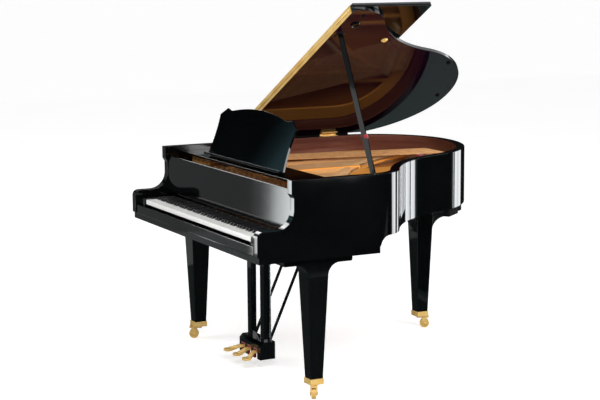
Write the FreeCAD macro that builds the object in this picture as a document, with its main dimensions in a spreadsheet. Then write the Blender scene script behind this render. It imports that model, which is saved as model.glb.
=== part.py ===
"""Grand piano with its lid raised on the prop, as separate wooden, iron, brass and felt pieces.

The frame has +X to the treble, +Y to the tail and +Z up.  The origin lies on the floor under the
middle of the piano.  All lengths are millimetres and all angles degrees.
"""

import os
import math
from types import SimpleNamespace

import FreeCAD
import Part

Vec = FreeCAD.Vector

# Driving sizes of the piano, one name and one number each
SIZES = {
    # plan of the case, read anticlockwise from the treble arm
    "case_half_width": 728.0,
    "case_length": 1582.0,
    "shoulder_radius": 196.0,
    "shoulder_heading": 149.0,
    "shoulder_run": 30.0,
    "waist_radius": 771.0,
    "waist_heading": 109.4,
    "flank_radius": 610.0,
    # rim, arms and keybed
    "case_top": 990.0,
    "rim_thickness": 42.0,
    "rim_bottom": 668.0,
    "rim_rear_lift": 44.0,
    "rim_cove_radius": 50.0,
    "rim_cove_end": 656.0,
    "arm_top": 779.0,
    "arm_nose_radius": 27.0,
    "arm_cove_radius": 82.0,
    "arm_cove_back": 176.0,
    "cheek_front": 165.0,
    "cheek_step_height": 914.0,
    "cheek_step_rise": 16.0,
    "keybed_thickness": 31.0,
    "keybed_inset": 3.0,
    "keybed_front": 9.0,
    "keybed_back": 603.0,
    "key_slip_front": 5.0,
    "key_slip_thickness": 16.0,
    "key_slip_height": 41.0,
    "key_block_height": 77.0,
    "key_block_gap": 7.0,
    "side_gap": 3.0,
    # frame under the soundboard
    "inner_rim_thickness": 30.0,
    "inner_rim_top": 868.0,
    "belly_rail_front": 603.0,
    "belly_rail_thickness": 40.0,
    "post_width": 70.0,
    "post_height": 78.0,
    "post_spacing": 290.0,
    "leg_block_thickness": 22.0,
    "soundboard_thickness": 9.0,
    "soundboard_gap": 2.0,
    "rib_width": 22.0,
    "rib_height": 18.0,
    "rib_spacing": 135.0,
    # iron plate, pin block, bridges, strings
    "plate_front": 202.0,
    "plate_web_back": 368.0,
    "plate_rise": 19.0,
    "plate_thickness": 12.0,
    "plate_gap": 4.0,
    "plate_flange": 74.0,
    "plate_skirt": 14.0,
    "plate_side_flange": 22.0,
    "plate_bar_width": 16.0,
    "plate_bar_height": 26.0,
    "hitch_rail_offset": 45.0,
    "hitch_rail_width": 40.0,
    "pin_block_thickness": 38.0,
    "pin_block_depth": 130.0,
    "agraffe_line": 356.0,
    "bridge_width": 26.0,
    "bridge_passage": 4.0,
    "treble_string_rise": 8.0,
    "treble_string_radius": 0.6,
    "bass_string_radius": 1.9,
    "bass_string_rise": 19.0,
    "bass_string_climb": 12.0,
    "shortest_string": 130.0,
    # string places are measured from the rim on their own side, bridge and hitch lines from the tail
    "longest_plain_string": 900.0,
    "treble_string_left": 341.0,
    "treble_string_right": 50.0,
    "section_gap": 30.0,
    "bass_string_left": 46.0,
    "bass_string_pitch": 11.0,
    "bass_string_shift": 296.0,
    "bass_bridge_line": 184.0,
    "bass_hitch_line": 98.0,
    "tuning_pin_line": 222.0,
    "tuning_pin_row": 24.0,
    "tuning_pin_radius": 3.5,
    "tuning_pin_height": 28.0,
    "hitch_pin_radius": 2.2,
    "seat_gap": 0.2,
    # keys and action
    "key_gap": 0.5,
    "key_front": 28.0,
    "key_end": 418.0,
    "key_lift": 50.0,
    "white_key_height": 22.0,
    "black_key_front": 78.0,
    "black_key_back": 172.0,
    "black_key_rise": 12.0,
    "white_key_width": 23.5,
    "black_key_width": 10.4,
    "black_key_slope": 6.0,
    "balance_line": 263.0,
    "balance_bead_radius": 4.0,
    "balance_rail_width": 36.0,
    "front_rail_width": 30.0,
    "back_rail_width": 46.0,
    "front_rail_height": 30.0,
    "running_gap": 0.3,
    "hammer_line": 306.0,
    "hammer_length": 130.0,
    "hammer_width": 8.0,
    "hammer_head_depth": 26.0,
    "hammer_head_height": 32.0,
    "hammer_knuckle_radius": 5.0,
    "hammer_drop": 16.0,
    "shank_height": 6.0,
    "hammer_rail_width": 20.0,
    "bracket_width": 9.0,
    "damper_line": 484.0,
    "damper_depth": 40.0,
    "damper_width": 6.0,
    "damper_height": 18.0,
    "damper_wire_radius": 1.2,
    "damper_tray_drop": 78.0,
    "damper_tray_thickness": 10.0,
    "damper_tray_width": 26.0,
    "guide_rail_thickness": 12.0,
    # fallboard
    "fallboard_line": 182.0,
    "fallboard_height": 177.0,
    "fallboard_lift": 100.0,
    "fallboard_thickness": 14.0,
    "fallboard_lean": 6.0,
    "fallboard_pin_radius": 4.0,
    # music desk
    "tray_front": 252.0,
    "tray_back": 434.0,
    "tray_drop": 26.0,
    "tray_thickness": 12.0,
    "desk_rail_width": 36.0,
    "desk_rail_height": 24.0,
    "desk_line": 288.0,
    "desk_tilt": 20.0,
    "desk_bottom_half": 415.0,
    "desk_waist_half": 399.0,
    "desk_ear_half": 410.0,
    "desk_ear_height": 209.0,
    "desk_tip_half": 347.0,
    "desk_tip_height": 245.0,
    "desk_dip_half": 262.0,
    "desk_dip_depth": 8.0,
    "desk_crown_height": 264.0,
    "desk_thickness": 10.0,
    "desk_barrel_radius": 5.0,
    "desk_setback": 2.0,
    "desk_ledge_depth": 22.0,
    "desk_ledge_height": 9.0,
    "strut_pivot_height": 100.0,
    "strut_length": 105.0,
    "strut_thickness": 5.0,
    "strut_half_width": 30.0,
    # lid, flap and hinges
    "lid_angle": 28.7,
    "lid_thickness": 18.0,
    "lid_overhang": 18.0,
    "lid_gap": 4.0,
    "lid_spine_inset": 11.0,
    "flap_spine_inset": 24.0,
    "lid_split": 558.0,
    "lid_corner_radius": 14.0,
    "flap_stack_gap": 1.0,
    "lid_hinge_inset": 4.0,
    "lid_hinge_radius": 4.0,
    "lid_hinge_length": 90.0,
    "lid_hinge_first": 760.0,
    "lid_hinge_second": 1108.0,
    "lid_hinge_leaf": 34.0,
    "leaf_thickness": 1.8,
    "flap_barrel_radius": 2.8,
    "flap_leaf_thickness": 2.0,
    "knuckle_length": 72.0,
    # prop and its fittings
    "prop_side_offset": 17.0,
    "prop_line": 604.0,
    "prop_drop": 28.0,
    "prop_reach": 241.1,
    "prop_target": 606.0,
    "prop_width": 22.0,
    "prop_thickness": 14.0,
    "prop_eye_radius": 11.0,
    "prop_pin_radius": 4.0,
    "pin_clearance": 0.05,
    "prop_fold_heading": 136.0,
    "prop_cheek": 5.0,
    "prop_cup_thickness": 3.0,
    "prop_cup_half": 24.0,
    "prop_tip_gap": 1.4,
    "short_prop_length": 165.0,
    "short_prop_width": 14.0,
    "short_prop_start": 34.0,
    "short_prop_angle": 2.0,
    # legs and casters
    "leg_side": 88.0,
    "leg_line": 313.0,
    "rear_leg_side": -298.0,
    "rear_leg_line": 154.0,
    "leg_top_width": 98.0,
    "leg_bottom_width": 60.0,
    "leg_bottom": 89.0,
    "leg_head_length": 340.0,
    "leg_head_plate": 28.0,
    "leg_head_cove": 60.0,
    "ferrule_width": 66.0,
    "ferrule_height": 26.0,
    "caster_stem_radius": 6.0,
    "caster_stem_length": 22.0,
    "caster_plate_gap": 1.5,
    "caster_crown": 8.0,
    "caster_trail": 24.0,
    "caster_half_width": 16.0,
    "caster_cheek": 5.0,
    "wheel_radius": 24.0,
    "wheel_width": 20.0,
    "axle_radius": 3.5,
    # lyre and pedals
    "lyre_line": 348.0,
    "lyre_block_half": 114.0,
    "lyre_block_depth": 62.0,
    "lyre_block_height": 34.0,
    "pillar_spacing": 142.0,
    "pillar_top_width": 46.0,
    "pillar_bottom_width": 38.0,
    "pillar_depth": 28.0,
    "pedal_box_half": 116.0,
    "pedal_box_front": 301.0,
    "pedal_box_depth": 78.0,
    "pedal_box_bottom": 50.0,
    "pedal_box_height": 84.0,
    "pedal_box_chamfer": 16.0,
    "pedal_box_wall": 9.0,
    "pedal_spacing": 68.0,
    "pedal_splay": 36.0,
    "pedal_rod_spacing": 100.0,
    "pedal_reach": 128.0,
    "pedal_pivot_back": 40.0,
    "pedal_pivot_height": 84.0,
    "pedal_width": 22.0,
    "pedal_tip_width": 40.0,
    "pedal_thickness": 11.0,
    "pedal_tail": 27.0,
    "pedal_rod_back": 21.0,
    "pedal_slot_gap": 4.0,
    "pedal_drop": 20.0,
    "pedal_rod_radius": 4.0,
    "pedal_rod_hole": 7.0,
    "pedal_rod_top": 24.0,
    "brace_spacing": 160.0,
    "brace_width": 12.0,
    "brace_back": 602.0,
    "brace_foot": 376.0,
}

NOTE_COUNT = 88
BASS_COUNT = 20
SECTION_STARTS = (42, 64)
DAMPER_COUNT = 66
FIRST_PITCH = 9
PITCH_NAMES = ("c", "c_sharp", "d", "d_sharp", "e", "f", "f_sharp", "g", "g_sharp", "a", "a_sharp", "b")
WHITE_STEPS = {0: 0, 2: 1, 4: 2, 5: 3, 7: 4, 9: 5, 11: 6}
TUNING_ROWS = 4

doc = FreeCAD.newDocument("grand_piano")
sheet = doc.addObject("Spreadsheet::Sheet", "Sizes")
for row, (alias, number) in enumerate(SIZES.items(), start=1):
    sheet.set("A%d" % row, alias)
    sheet.set("B%d" % row, str(number))
    sheet.setAlias("B%d" % row, alias)
doc.recompute()


class Length:
    """A number together with the sheet formula that gives it."""

    def __init__(self, number, formula):
        self.number = number
        self.formula = formula

    def __float__(self):
        return self.number

    def __neg__(self):
        return Length(-self.number, "(-%s)" % self.formula)

    def __add__(self, other):
        other = as_length(other)
        return Length(self.number + other.number, "(%s + %s)" % (self.formula, other.formula))

    def __radd__(self, other):
        return as_length(other) + self

    def __sub__(self, other):
        other = as_length(other)
        return Length(self.number - other.number, "(%s - %s)" % (self.formula, other.formula))

    def __rsub__(self, other):
        return as_length(other) - self

    def __mul__(self, other):
        other = as_length(other)
        return Length(self.number * other.number, "(%s * %s)" % (self.formula, other.formula))

    def __rmul__(self, other):
        return as_length(other) * self

    def __truediv__(self, other):
        other = as_length(other)
        return Length(self.number / other.number, "(%s / %s)" % (self.formula, other.formula))


def as_length(value):
    """Accept a plain number where a bound length is expected."""
    if isinstance(value, Length):
        return value
    return Length(float(value), "(%r)" % float(value))


S = SimpleNamespace(**{alias: Length(float(sheet.get(alias)), "Sizes." + alias) for alias in SIZES})

# Levels and lines that several pieces share
FRONT = -(S.case_length + S.lid_overhang) / 2
TAIL = FRONT + S.case_length
RIM_INNER = S.case_half_width - S.rim_thickness
RIM_REAR_BOTTOM = S.rim_bottom + S.rim_rear_lift
KEYBED_BOTTOM = S.rim_bottom - S.keybed_thickness
KEY_BOTTOM = S.rim_bottom + S.key_lift
KEY_TOP = KEY_BOTTOM + S.white_key_height
BALANCE_AXIS = KEY_BOTTOM - S.balance_bead_radius - S.running_gap
SOUNDBOARD_TOP = S.inner_rim_top + S.soundboard_thickness
PLATE_BOTTOM = SOUNDBOARD_TOP + S.plate_rise
PLATE_TOP = PLATE_BOTTOM + S.plate_thickness
STRING_LEVEL = PLATE_TOP + S.treble_string_rise
PIN_BLOCK_BOTTOM = PLATE_BOTTOM - S.pin_block_thickness
HAMMER_AXIS = PIN_BLOCK_BOTTOM - S.hammer_drop
DAMPER_TRAY_BOTTOM = S.inner_rim_top - S.damper_tray_drop
FALLBOARD_AXIS = S.rim_bottom + S.fallboard_lift
TRAY_TOP = S.case_top - S.tray_drop
DESK_AXIS = TRAY_TOP + S.desk_barrel_radius + S.running_gap
LID_AXIS_X = -S.case_half_width + S.lid_hinge_inset
LID_AXIS_Z = S.case_top + S.lid_gap / 2
LID_BOTTOM = S.lid_gap / 2
LID_TOP = LID_BOTTOM + S.lid_thickness
FLAP_AXIS_Y = S.lid_split - S.flap_leaf_thickness / 2
FLAP_AXIS_Z = LID_TOP + S.flap_stack_gap / 2
PROP_Z = S.case_top - S.prop_drop
REAR_LEG_TOP = RIM_REAR_BOTTOM - S.leg_block_thickness
PEDAL_AXIS_Y = S.pedal_box_front + S.pedal_pivot_back
FERRULE_BOTTOM = S.leg_bottom - S.ferrule_height
KEYBOARD_HALF = 26 * S.white_key_width
BASS_STRING_LEFT = S.bass_string_left - RIM_INNER
TREBLE_STRING_LEFT = S.treble_string_left - RIM_INNER
TREBLE_STRING_RIGHT = RIM_INNER - S.treble_string_right
BASS_BRIDGE_LINE = S.case_length - S.bass_bridge_line
BASS_HITCH_LINE = S.case_length - S.bass_hitch_line
REAR_LEG_LINE = S.case_length - S.rear_leg_line
LEG_SIDE = S.case_half_width - S.leg_side
CASTER_HEADINGS = (-118.0, -28.0, 62.0)
PROP_BASE_EDGE = 10.0
PEDAL_DROP_START = 0.45
PEDAL_DROP_END = 0.75
PEDAL_FLARE_START = 0.4
PEDAL_FLARE_END = 0.72
NODES = []


def along(distance):
    """Turn a distance behind the arms' front into a place on the Y axis."""
    return FRONT + distance


def point(first, second, third=0.0):
    """A vector from bound lengths or plain numbers."""
    return Vec(float(first), float(second), float(third))


def bind(thing, name, length):
    """Tie a property to the sheet."""
    thing.setExpression(name, as_length(length).formula)


def node(thing, label):
    """Register a finished sub-part under the name of its file."""
    thing.Label = label
    NODES.append(thing)
    return thing


def board(label, across, deep, high):
    """A rectangular board between two places on each axis, all bound to the sheet."""
    box = doc.addObject("Part::Box", label)
    for name, axis, (low, top) in (("Length", "x", across), ("Width", "y", deep), ("Height", "z", high)):
        bind(box, name, as_length(top) - low)
        bind(box, "Placement.Base." + axis, low)
    return box


def rod(label, radius, base, length, direction=Vec(0, 0, 1)):
    """A round rod or pin from a base point along a direction."""
    cylinder = doc.addObject("Part::Cylinder", label)
    bind(cylinder, "Radius", radius)
    bind(cylinder, "Height", length)
    cylinder.Placement = FreeCAD.Placement(base, FreeCAD.Rotation(Vec(0, 0, 1), direction))
    return cylinder


def fuse(label, pieces):
    """One solid from overlapping pieces."""
    whole = doc.addObject("Part::MultiFuse", label)
    whole.Shapes = pieces
    return whole


def cut(label, base, tool):
    """The base less the tool."""
    whole = doc.addObject("Part::Cut", label)
    whole.Base = base
    whole.Tool = tool
    return whole


def common(label, base, tool):
    """What the base and the tool share."""
    whole = doc.addObject("Part::Common", label)
    whole.Base = base
    whole.Tool = tool
    return whole


def group(label, pieces):
    """Separate solids that share one node."""
    whole = doc.addObject("Part::Compound", label)
    whole.Links = pieces
    return whole


def feature(label, shape):
    """A sub-part whose shape is worked out here from the sheet's sizes."""
    thing = doc.addObject("Part::Feature", label)
    thing.Shape = shape
    return thing


def rounded_polygon(corners):
    """Closed outline of lines, with an arc at each corner that gives a radius."""
    count = len(corners)
    spots = [Vec(float(corner[0]), float(corner[1]), 0) for corner in corners]
    starts = []
    ends = []
    arcs = []
    for index, corner in enumerate(corners):
        here = spots[index]
        radius = float(corner[2]) if len(corner) > 2 else 0.0
        if radius == 0.0:
            starts.append(here)
            ends.append(here)
            continue
        back = (spots[index - 1] - here).normalize()
        ahead = (spots[(index + 1) % count] - here).normalize()
        half_angle = back.getAngle(ahead) / 2
        reach = radius / math.tan(half_angle)
        middle = (back + ahead).normalize()
        centre = here + middle * (radius / math.sin(half_angle))
        starts.append(here + back * reach)
        ends.append(here + ahead * reach)
        arcs.append(Part.Arc(starts[-1], centre - middle * radius, ends[-1]))
    lines = []
    for index in range(count):
        begin = ends[index]
        finish = starts[(index + 1) % count]
        if begin.distanceToPoint(finish) > 1e-6:
            lines.append(Part.LineSegment(begin, finish))
    return lines + arcs


def sketch_in(body, label, plane, edges, offset=0.0):
    """A sketch on one of the body's own planes, moved along its normal."""
    sketch = body.newObject("Sketcher::SketchObject", label)
    support = [item for item in body.Origin.OriginFeatures if item.Role == plane][0]
    sketch.AttachmentSupport = [(support, "")]
    sketch.MapMode = "FlatFace"
    bind(sketch, "AttachmentOffset.Base.z", offset)
    sketch.addGeometry(edges, False)
    return sketch


def padded_body(label, plane, edges, low, high):
    """A body padded from one outline between two places on the plane's normal."""
    body = doc.addObject("PartDesign::Body", label)
    pad = body.newObject("PartDesign::Pad", label + "_pad")
    pad.Profile = sketch_in(body, label + "_outline", plane, edges, low)
    bind(pad, "Length", as_length(high) - low)
    return body


def pocket_through(body, label, plane, edges):
    """Cut an outline through the whole body, to both sides of the plane."""
    doc.recompute()
    before = body.Shape.Volume
    pocket = body.newObject("PartDesign::Pocket", label)
    pocket.Profile = sketch_in(body, label + "_outline", plane, edges)
    pocket.Type = "ThroughAll"
    pocket.SideType = "Symmetric"
    doc.recompute()
    if body.Shape.Volume >= before:
        raise ValueError(label + " cuts nothing")


def prism(edges, low, high):
    """A plain solid from a flat outline, standing between two levels."""
    face = Part.Face(Part.Wire(Part.__sortEdges__([edge.toShape() for edge in edges])))
    solid = face.extrude(Vec(0, 0, float(high) - float(low)))
    solid.translate(Vec(0, 0, float(low)))
    return solid


def side_prism(corners, low, high):
    """A plain solid from an outline in Y and Z, between two places across the piano."""
    edges = rounded_polygon(corners)
    face = Part.Face(Part.Wire(Part.__sortEdges__([edge.toShape() for edge in edges])))
    turned = face.transformGeometry(FreeCAD.Matrix(0, 0, 1, 0, 1, 0, 0, 0, 0, 1, 0, 0, 0, 0, 0, 1))
    solid = turned.extrude(Vec(float(high) - float(low), 0, 0))
    solid.translate(Vec(float(low), 0, 0))
    return solid


def plain_box(across, deep, high):
    """A plain rectangular solid between two places on each axis."""
    low = point(across[0], deep[0], high[0])
    top = point(across[1], deep[1], high[1])
    return Part.makeBox(top.x - low.x, top.y - low.y, top.z - low.z, low)


# Plan of the case


def compass(heading):
    """Outward normal of a curve that runs anticlockwise with this heading."""
    turn = math.radians(float(heading))
    return Vec(math.sin(turn), -math.cos(turn), 0)


def bend(centre, radius, start, end):
    """An arc from one heading to another; a negative radius bends the other way."""
    middle = (float(start) + float(end)) / 2
    return Part.Arc(*(centre + compass(heading) * radius for heading in (start, middle, end)))


def case_outline(inset):
    """Lines and arcs of the case's plan from the treble front round the tail to the bass front."""
    inset = float(inset)
    half = float(S.case_half_width)
    first = float(S.shoulder_heading)
    second = float(S.waist_heading)
    shoulder = float(S.shoulder_radius)
    waist = float(S.waist_radius)
    flank = float(S.flank_radius)
    lead = Vec(math.cos(math.radians(first)), math.sin(math.radians(first)), 0) * float(S.shoulder_run)
    offset = compass(first) * shoulder + lead + (compass(first) - compass(second)) * waist
    offset += compass(180) * flank - compass(second) * flank
    shoulder_centre = Vec(half - shoulder, float(TAIL) - offset.y, 0)
    run_end = shoulder_centre + compass(first) * shoulder + lead
    waist_centre = run_end + compass(first) * waist
    flank_centre = waist_centre - compass(second) * (waist + flank)
    tail_point = flank_centre + compass(180) * flank
    tail_radius = tail_point.x + half
    tail_centre = tail_point - compass(180) * tail_radius
    arcs = [
        bend(shoulder_centre, shoulder - inset, 90, first),
        bend(waist_centre, -(waist + inset), first, second),
        bend(flank_centre, flank - inset, second, 180),
        bend(tail_centre, tail_radius - inset, 180, 270),
    ]
    treble_front = Vec(half - inset, float(FRONT), 0)
    bass_front = Vec(inset - half, float(FRONT), 0)
    return [
        Part.LineSegment(treble_front, arcs[0].StartPoint),
        arcs[0],
        Part.LineSegment(arcs[0].EndPoint, arcs[1].StartPoint),
        arcs[1],
        arcs[2],
        arcs[3],
        Part.LineSegment(arcs[3].EndPoint, bass_front),
    ]


def case_region(inset):
    """The closed plan inside the case, square at the front."""
    edges = case_outline(inset)
    edges.append(Part.LineSegment(edges[-1].EndPoint, edges[0].StartPoint))
    return edges


def case_band(outer_inset, inner_inset):
    """The closed plan of a band that follows the case."""
    outer = case_outline(outer_inset)
    inner = case_outline(inner_inset)
    ends = [
        Part.LineSegment(outer[0].StartPoint, inner[0].StartPoint),
        Part.LineSegment(outer[-1].EndPoint, inner[-1].EndPoint),
    ]
    return outer + inner + ends


def treble_edge(inset, line):
    """Place across the piano where a line across it meets the treble side of the case's plan."""
    face = Part.Face(Part.Wire(Part.__sortEdges__([edge.toShape() for edge in case_region(inset)])))
    reach = 2 * S.case_half_width
    crossing = Part.makeLine(point(-reach, line), point(reach, line)).common(face)
    return max(vertex.X for vertex in crossing.Vertexes)


def behind(solid, front):
    """The part of a plain solid that lies behind a line across the piano."""
    box = solid.BoundBox
    return solid.common(plain_box((box.XMin - 1, box.XMax + 1), (front, box.YMax + 1),
                                  (box.ZMin - 1, box.ZMax + 1)))


def case_solid(inset, front, low, high):
    """The room inside the case behind a line across it, between two levels."""
    return behind(prism(case_region(inset), low, high), front)


def clear_front(body, label, front, low, high):
    """Cut a body away in front of a line across the piano."""
    ahead = FRONT - 50
    pocket_through(body, label, "YZ_Plane", rounded_polygon([
        (ahead, low - 1),
        (front, low - 1),
        (front, high + 1),
        (ahead, high + 1),
    ]))


# Case


def make_outer_rim():
    """Bent rim with its two scrolled arms, notched for the lid's hinge knuckles."""
    rim = padded_body("outer_rim_band", "XY_Plane", case_band(0, S.rim_thickness), S.rim_bottom, S.case_top)
    clear = float(S.case_top) + 50
    ahead = FRONT - 50
    pocket_through(rim, "arm_scroll", "YZ_Plane", rounded_polygon([
        (ahead, S.arm_top),
        (ahead, clear),
        (along(S.cheek_front), clear),
        (along(S.cheek_front), S.cheek_step_height + S.cheek_step_rise),
        (along(S.arm_cove_back), S.cheek_step_height),
        (along(S.arm_cove_back), S.arm_top, S.arm_cove_radius),
    ]))
    nose = S.arm_nose_radius
    corner = Part.Arc(
        point(FRONT, S.arm_top - nose),
        point(FRONT + nose * (1 - math.sqrt(0.5)), S.arm_top - nose * (1 - math.sqrt(0.5))),
        point(FRONT + nose, S.arm_top),
    )
    pocket_through(rim, "arm_nose", "YZ_Plane", [
        corner,
        Part.LineSegment(point(FRONT, S.arm_top - nose), point(ahead, S.arm_top - nose)),
        Part.LineSegment(point(ahead, S.arm_top - nose), point(ahead, S.arm_top)),
        Part.LineSegment(point(ahead, S.arm_top), point(FRONT + nose, S.arm_top)),
    ])
    cove = S.rim_cove_radius
    cove_end = along(S.rim_cove_end)
    cove_centre = RIM_REAR_BOTTOM - cove
    below = float(S.rim_bottom) - 50
    start = cove_end - math.sqrt(float(cove) ** 2 - (float(S.rim_bottom) - float(cove_centre)) ** 2)
    middle = cove * math.sqrt(0.5)
    past_tail = float(TAIL) + 50
    pocket_through(rim, "rear_lift", "YZ_Plane", [
        Part.LineSegment(point(start, below), point(start, S.rim_bottom)),
        Part.Arc(point(start, S.rim_bottom), point(cove_end - middle, cove_centre + middle),
                 point(cove_end, RIM_REAR_BOTTOM)),
        Part.LineSegment(point(cove_end, RIM_REAR_BOTTOM), point(past_tail, RIM_REAR_BOTTOM)),
        Part.LineSegment(point(past_tail, RIM_REAR_BOTTOM), point(past_tail, below)),
        Part.LineSegment(point(past_tail, below), point(start, below)),
    ])
    notches = []
    knuckle = S.lid_hinge_radius + 0.5
    for index, line in enumerate((S.lid_hinge_first, S.lid_hinge_second)):
        middle = along(line)
        notches.append(board(
            "hinge_notch_%d" % index,
            (-S.case_half_width - 1, LID_AXIS_X + knuckle),
            (middle - S.lid_hinge_length / 2 - 1, middle + S.lid_hinge_length / 2 + 1),
            (LID_AXIS_Z - knuckle, S.case_top + 1),
        ))
    node(cut("outer_rim_notched", rim, group("hinge_notches", notches)), "outer_rim")


def make_case_woodwork():
    """Inner rim, keybed, key slip, key blocks and the frame under the soundboard."""
    belly_back = along(S.belly_rail_front + S.belly_rail_thickness)
    inner_edge = S.rim_thickness + S.inner_rim_thickness
    inner_rim = padded_body("inner_rim", "XY_Plane", case_band(S.rim_thickness, inner_edge),
                            RIM_REAR_BOTTOM, S.inner_rim_top)
    clear_front(inner_rim, "inner_rim_front", belly_back, RIM_REAR_BOTTOM, S.inner_rim_top)
    node(inner_rim, "inner_rim")
    half = S.case_half_width - S.keybed_inset
    keybed = board("keybed_board", (-half, half), (along(S.keybed_front), along(S.keybed_back)),
                   (KEYBED_BOTTOM, S.rim_bottom))
    holes = [rod("keybed_hole_%d" % index, S.pedal_rod_hole, rod_base(index, KEYBED_BOTTOM - 1),
                 S.keybed_thickness + 2) for index in range(3)]
    node(cut("keybed_drilled", keybed, group("keybed_holes", holes)), "keybed")
    inner = RIM_INNER - S.side_gap
    slip_front = along(S.key_slip_front)
    slip_back = slip_front + S.key_slip_thickness
    node(board("key_slip", (-inner, inner), (slip_front, slip_back),
               (S.rim_bottom, S.rim_bottom + S.key_slip_height)), "key_slip")
    blocks = []
    start = KEYBOARD_HALF + S.key_block_gap
    for name, side in (("bass", (-inner, -start)), ("treble", (start, inner))):
        blocks.append(board("key_block_" + name, side, (slip_back, along(S.cheek_front)),
                            (S.rim_bottom, S.rim_bottom + S.key_block_height)))
    node(group("key_blocks_pair", blocks), "key_blocks")
    make_back_frame(belly_back, inner_edge)


def make_back_frame(belly_back, inner_edge):
    """Belly rail, damper guide rail, posts that run to the tail, and the block over the rear leg."""
    front = along(S.belly_rail_front)
    rail = board("belly_rail_blank", (-RIM_INNER, RIM_INNER), (front, belly_back),
                 (RIM_REAR_BOTTOM, S.inner_rim_top))
    guide_front = along(S.damper_line) - S.damper_tray_width / 2
    guide_top = DAMPER_TRAY_BOTTOM - S.running_gap
    guide = board("damper_guide_blank", (-RIM_INNER, RIM_INNER), (guide_front, front),
                  (guide_top - S.guide_rail_thickness, guide_top))
    between = feature("rail_room", case_solid(S.rim_thickness, guide_front, RIM_REAR_BOTTOM, S.inner_rim_top))
    pieces = [common("belly_rail", rail, between), common("damper_guide_rail", guide, between)]
    inside = feature("post_room", case_solid(inner_edge, belly_back, RIM_REAR_BOTTOM, S.inner_rim_top))
    for index in range(-1, 3):
        middle = S.rear_leg_side + S.post_spacing * index
        post = board("post_blank_%d" % index, (middle - S.post_width / 2, middle + S.post_width / 2),
                     (belly_back, TAIL), (RIM_REAR_BOTTOM, RIM_REAR_BOTTOM + S.post_height))
        pieces.append(common("post_%d" % index, post, inside))
    leg = along(REAR_LEG_LINE)
    reach = S.leg_head_length / 2
    deep = S.leg_top_width * 0.75
    block = board("leg_block_blank", (S.rear_leg_side - reach, S.rear_leg_side + reach),
                  (leg - deep, leg + deep), (REAR_LEG_TOP, RIM_REAR_BOTTOM))
    under = feature("block_room", case_solid(S.rim_thickness, belly_back, REAR_LEG_TOP, RIM_REAR_BOTTOM))
    pieces.append(common("rear_leg_block", block, under))
    node(group("back_frame_pieces", pieces), "back_frame")


# Soundboard, bridges, plate and strings


def make_soundboard():
    """Thin board on the inner rim with ribs glued under it."""
    front = along(S.belly_rail_front)
    inset = S.rim_thickness + S.soundboard_gap
    panel = padded_body("soundboard_panel", "XY_Plane", case_region(inset), S.inner_rim_top, SOUNDBOARD_TOP)
    clear_front(panel, "soundboard_front", front, S.inner_rim_top, SOUNDBOARD_TOP)
    rib_inset = S.rim_thickness + S.inner_rim_thickness + S.soundboard_gap
    rib_front = along(S.belly_rail_front + S.belly_rail_thickness)
    room = feature("rib_room",
                   case_solid(rib_inset, rib_front, S.inner_rim_top - S.rib_height, S.inner_rim_top))
    pieces = [panel]
    rib_room = S.case_length - S.belly_rail_front - S.belly_rail_thickness
    for index in range(1, int(float(rib_room / S.rib_spacing))):
        middle = rib_front + S.rib_spacing * index
        blank = board("rib_blank_%d" % index, (-S.case_half_width, S.case_half_width),
                      (middle - S.rib_width / 2, middle + S.rib_width / 2),
                      (S.inner_rim_top - S.rib_height, S.inner_rim_top))
        pieces.append(common("rib_%d" % index, blank, room))
    node(group("soundboard_pieces", pieces), "soundboard")


def treble_x(note):
    """Place across the piano of one plain string, with a gap at each plate bar."""
    plain = NOTE_COUNT - BASS_COUNT - 1
    gaps = len(SECTION_STARTS)
    room = float(TREBLE_STRING_RIGHT - TREBLE_STRING_LEFT) - gaps * float(S.section_gap)
    passed = sum(1 for start in SECTION_STARTS if note >= start)
    return float(TREBLE_STRING_LEFT) + (note - BASS_COUNT) * room / plain + passed * float(S.section_gap)


def bridge_y(note):
    """Place along the piano where one plain string crosses its bridge."""
    plain = NOTE_COUNT - BASS_COUNT - 1
    ratio = float(S.longest_plain_string) / float(S.shortest_string)
    speaking = float(S.shortest_string) * ratio ** ((NOTE_COUNT - 1 - note) / plain)
    return float(along(S.agraffe_line)) + speaking


def bass_x(note, y):
    """Place across the piano of one wound string at a distance along it."""
    start = float(along(bass_pin_line()))
    end = float(along(BASS_HITCH_LINE))
    left = float(BASS_STRING_LEFT) + note * float(S.bass_string_pitch)
    return left + float(S.bass_string_shift) * (float(y) - start) / (end - start)


def bass_z(y):
    """Height of the wound strings' middle, which climbs to the bass bridge."""
    start = float(along(bass_pin_line()))
    end = float(along(BASS_HITCH_LINE))
    climb = float(S.bass_string_climb) * (float(y) - start) / (end - start)
    return float(PLATE_TOP + S.bass_string_rise) + climb


def bass_pin_line():
    """Line of the bass tuning pins, the rearmost row."""
    return S.tuning_pin_line + S.tuning_pin_row * (TUNING_ROWS - 1)


def bridge_strip(near, far):
    """Closed plan between two curves that follow the long bridge at given distances behind it."""
    step = 11
    notes = list(range(BASS_COUNT, NOTE_COUNT - 1, step)) + [NOTE_COUNT - 1]
    spots = [Vec(treble_x(note), bridge_y(note), 0) for note in notes]
    margin = float(S.section_gap) / 2
    spots[0] += Vec(-margin, 2 * margin, 0)
    spots[-1] += Vec(margin, -margin / 4, 0)
    sides = []
    for distance in (float(near), float(far)):
        curve = Part.BSplineCurve()
        curve.interpolate([spot + Vec(0, distance, 0) for spot in spots])
        sides.append(curve)
    return [
        sides[0],
        sides[1],
        Part.LineSegment(sides[0].StartPoint, sides[1].StartPoint),
        Part.LineSegment(sides[0].EndPoint, sides[1].EndPoint),
    ]


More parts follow.
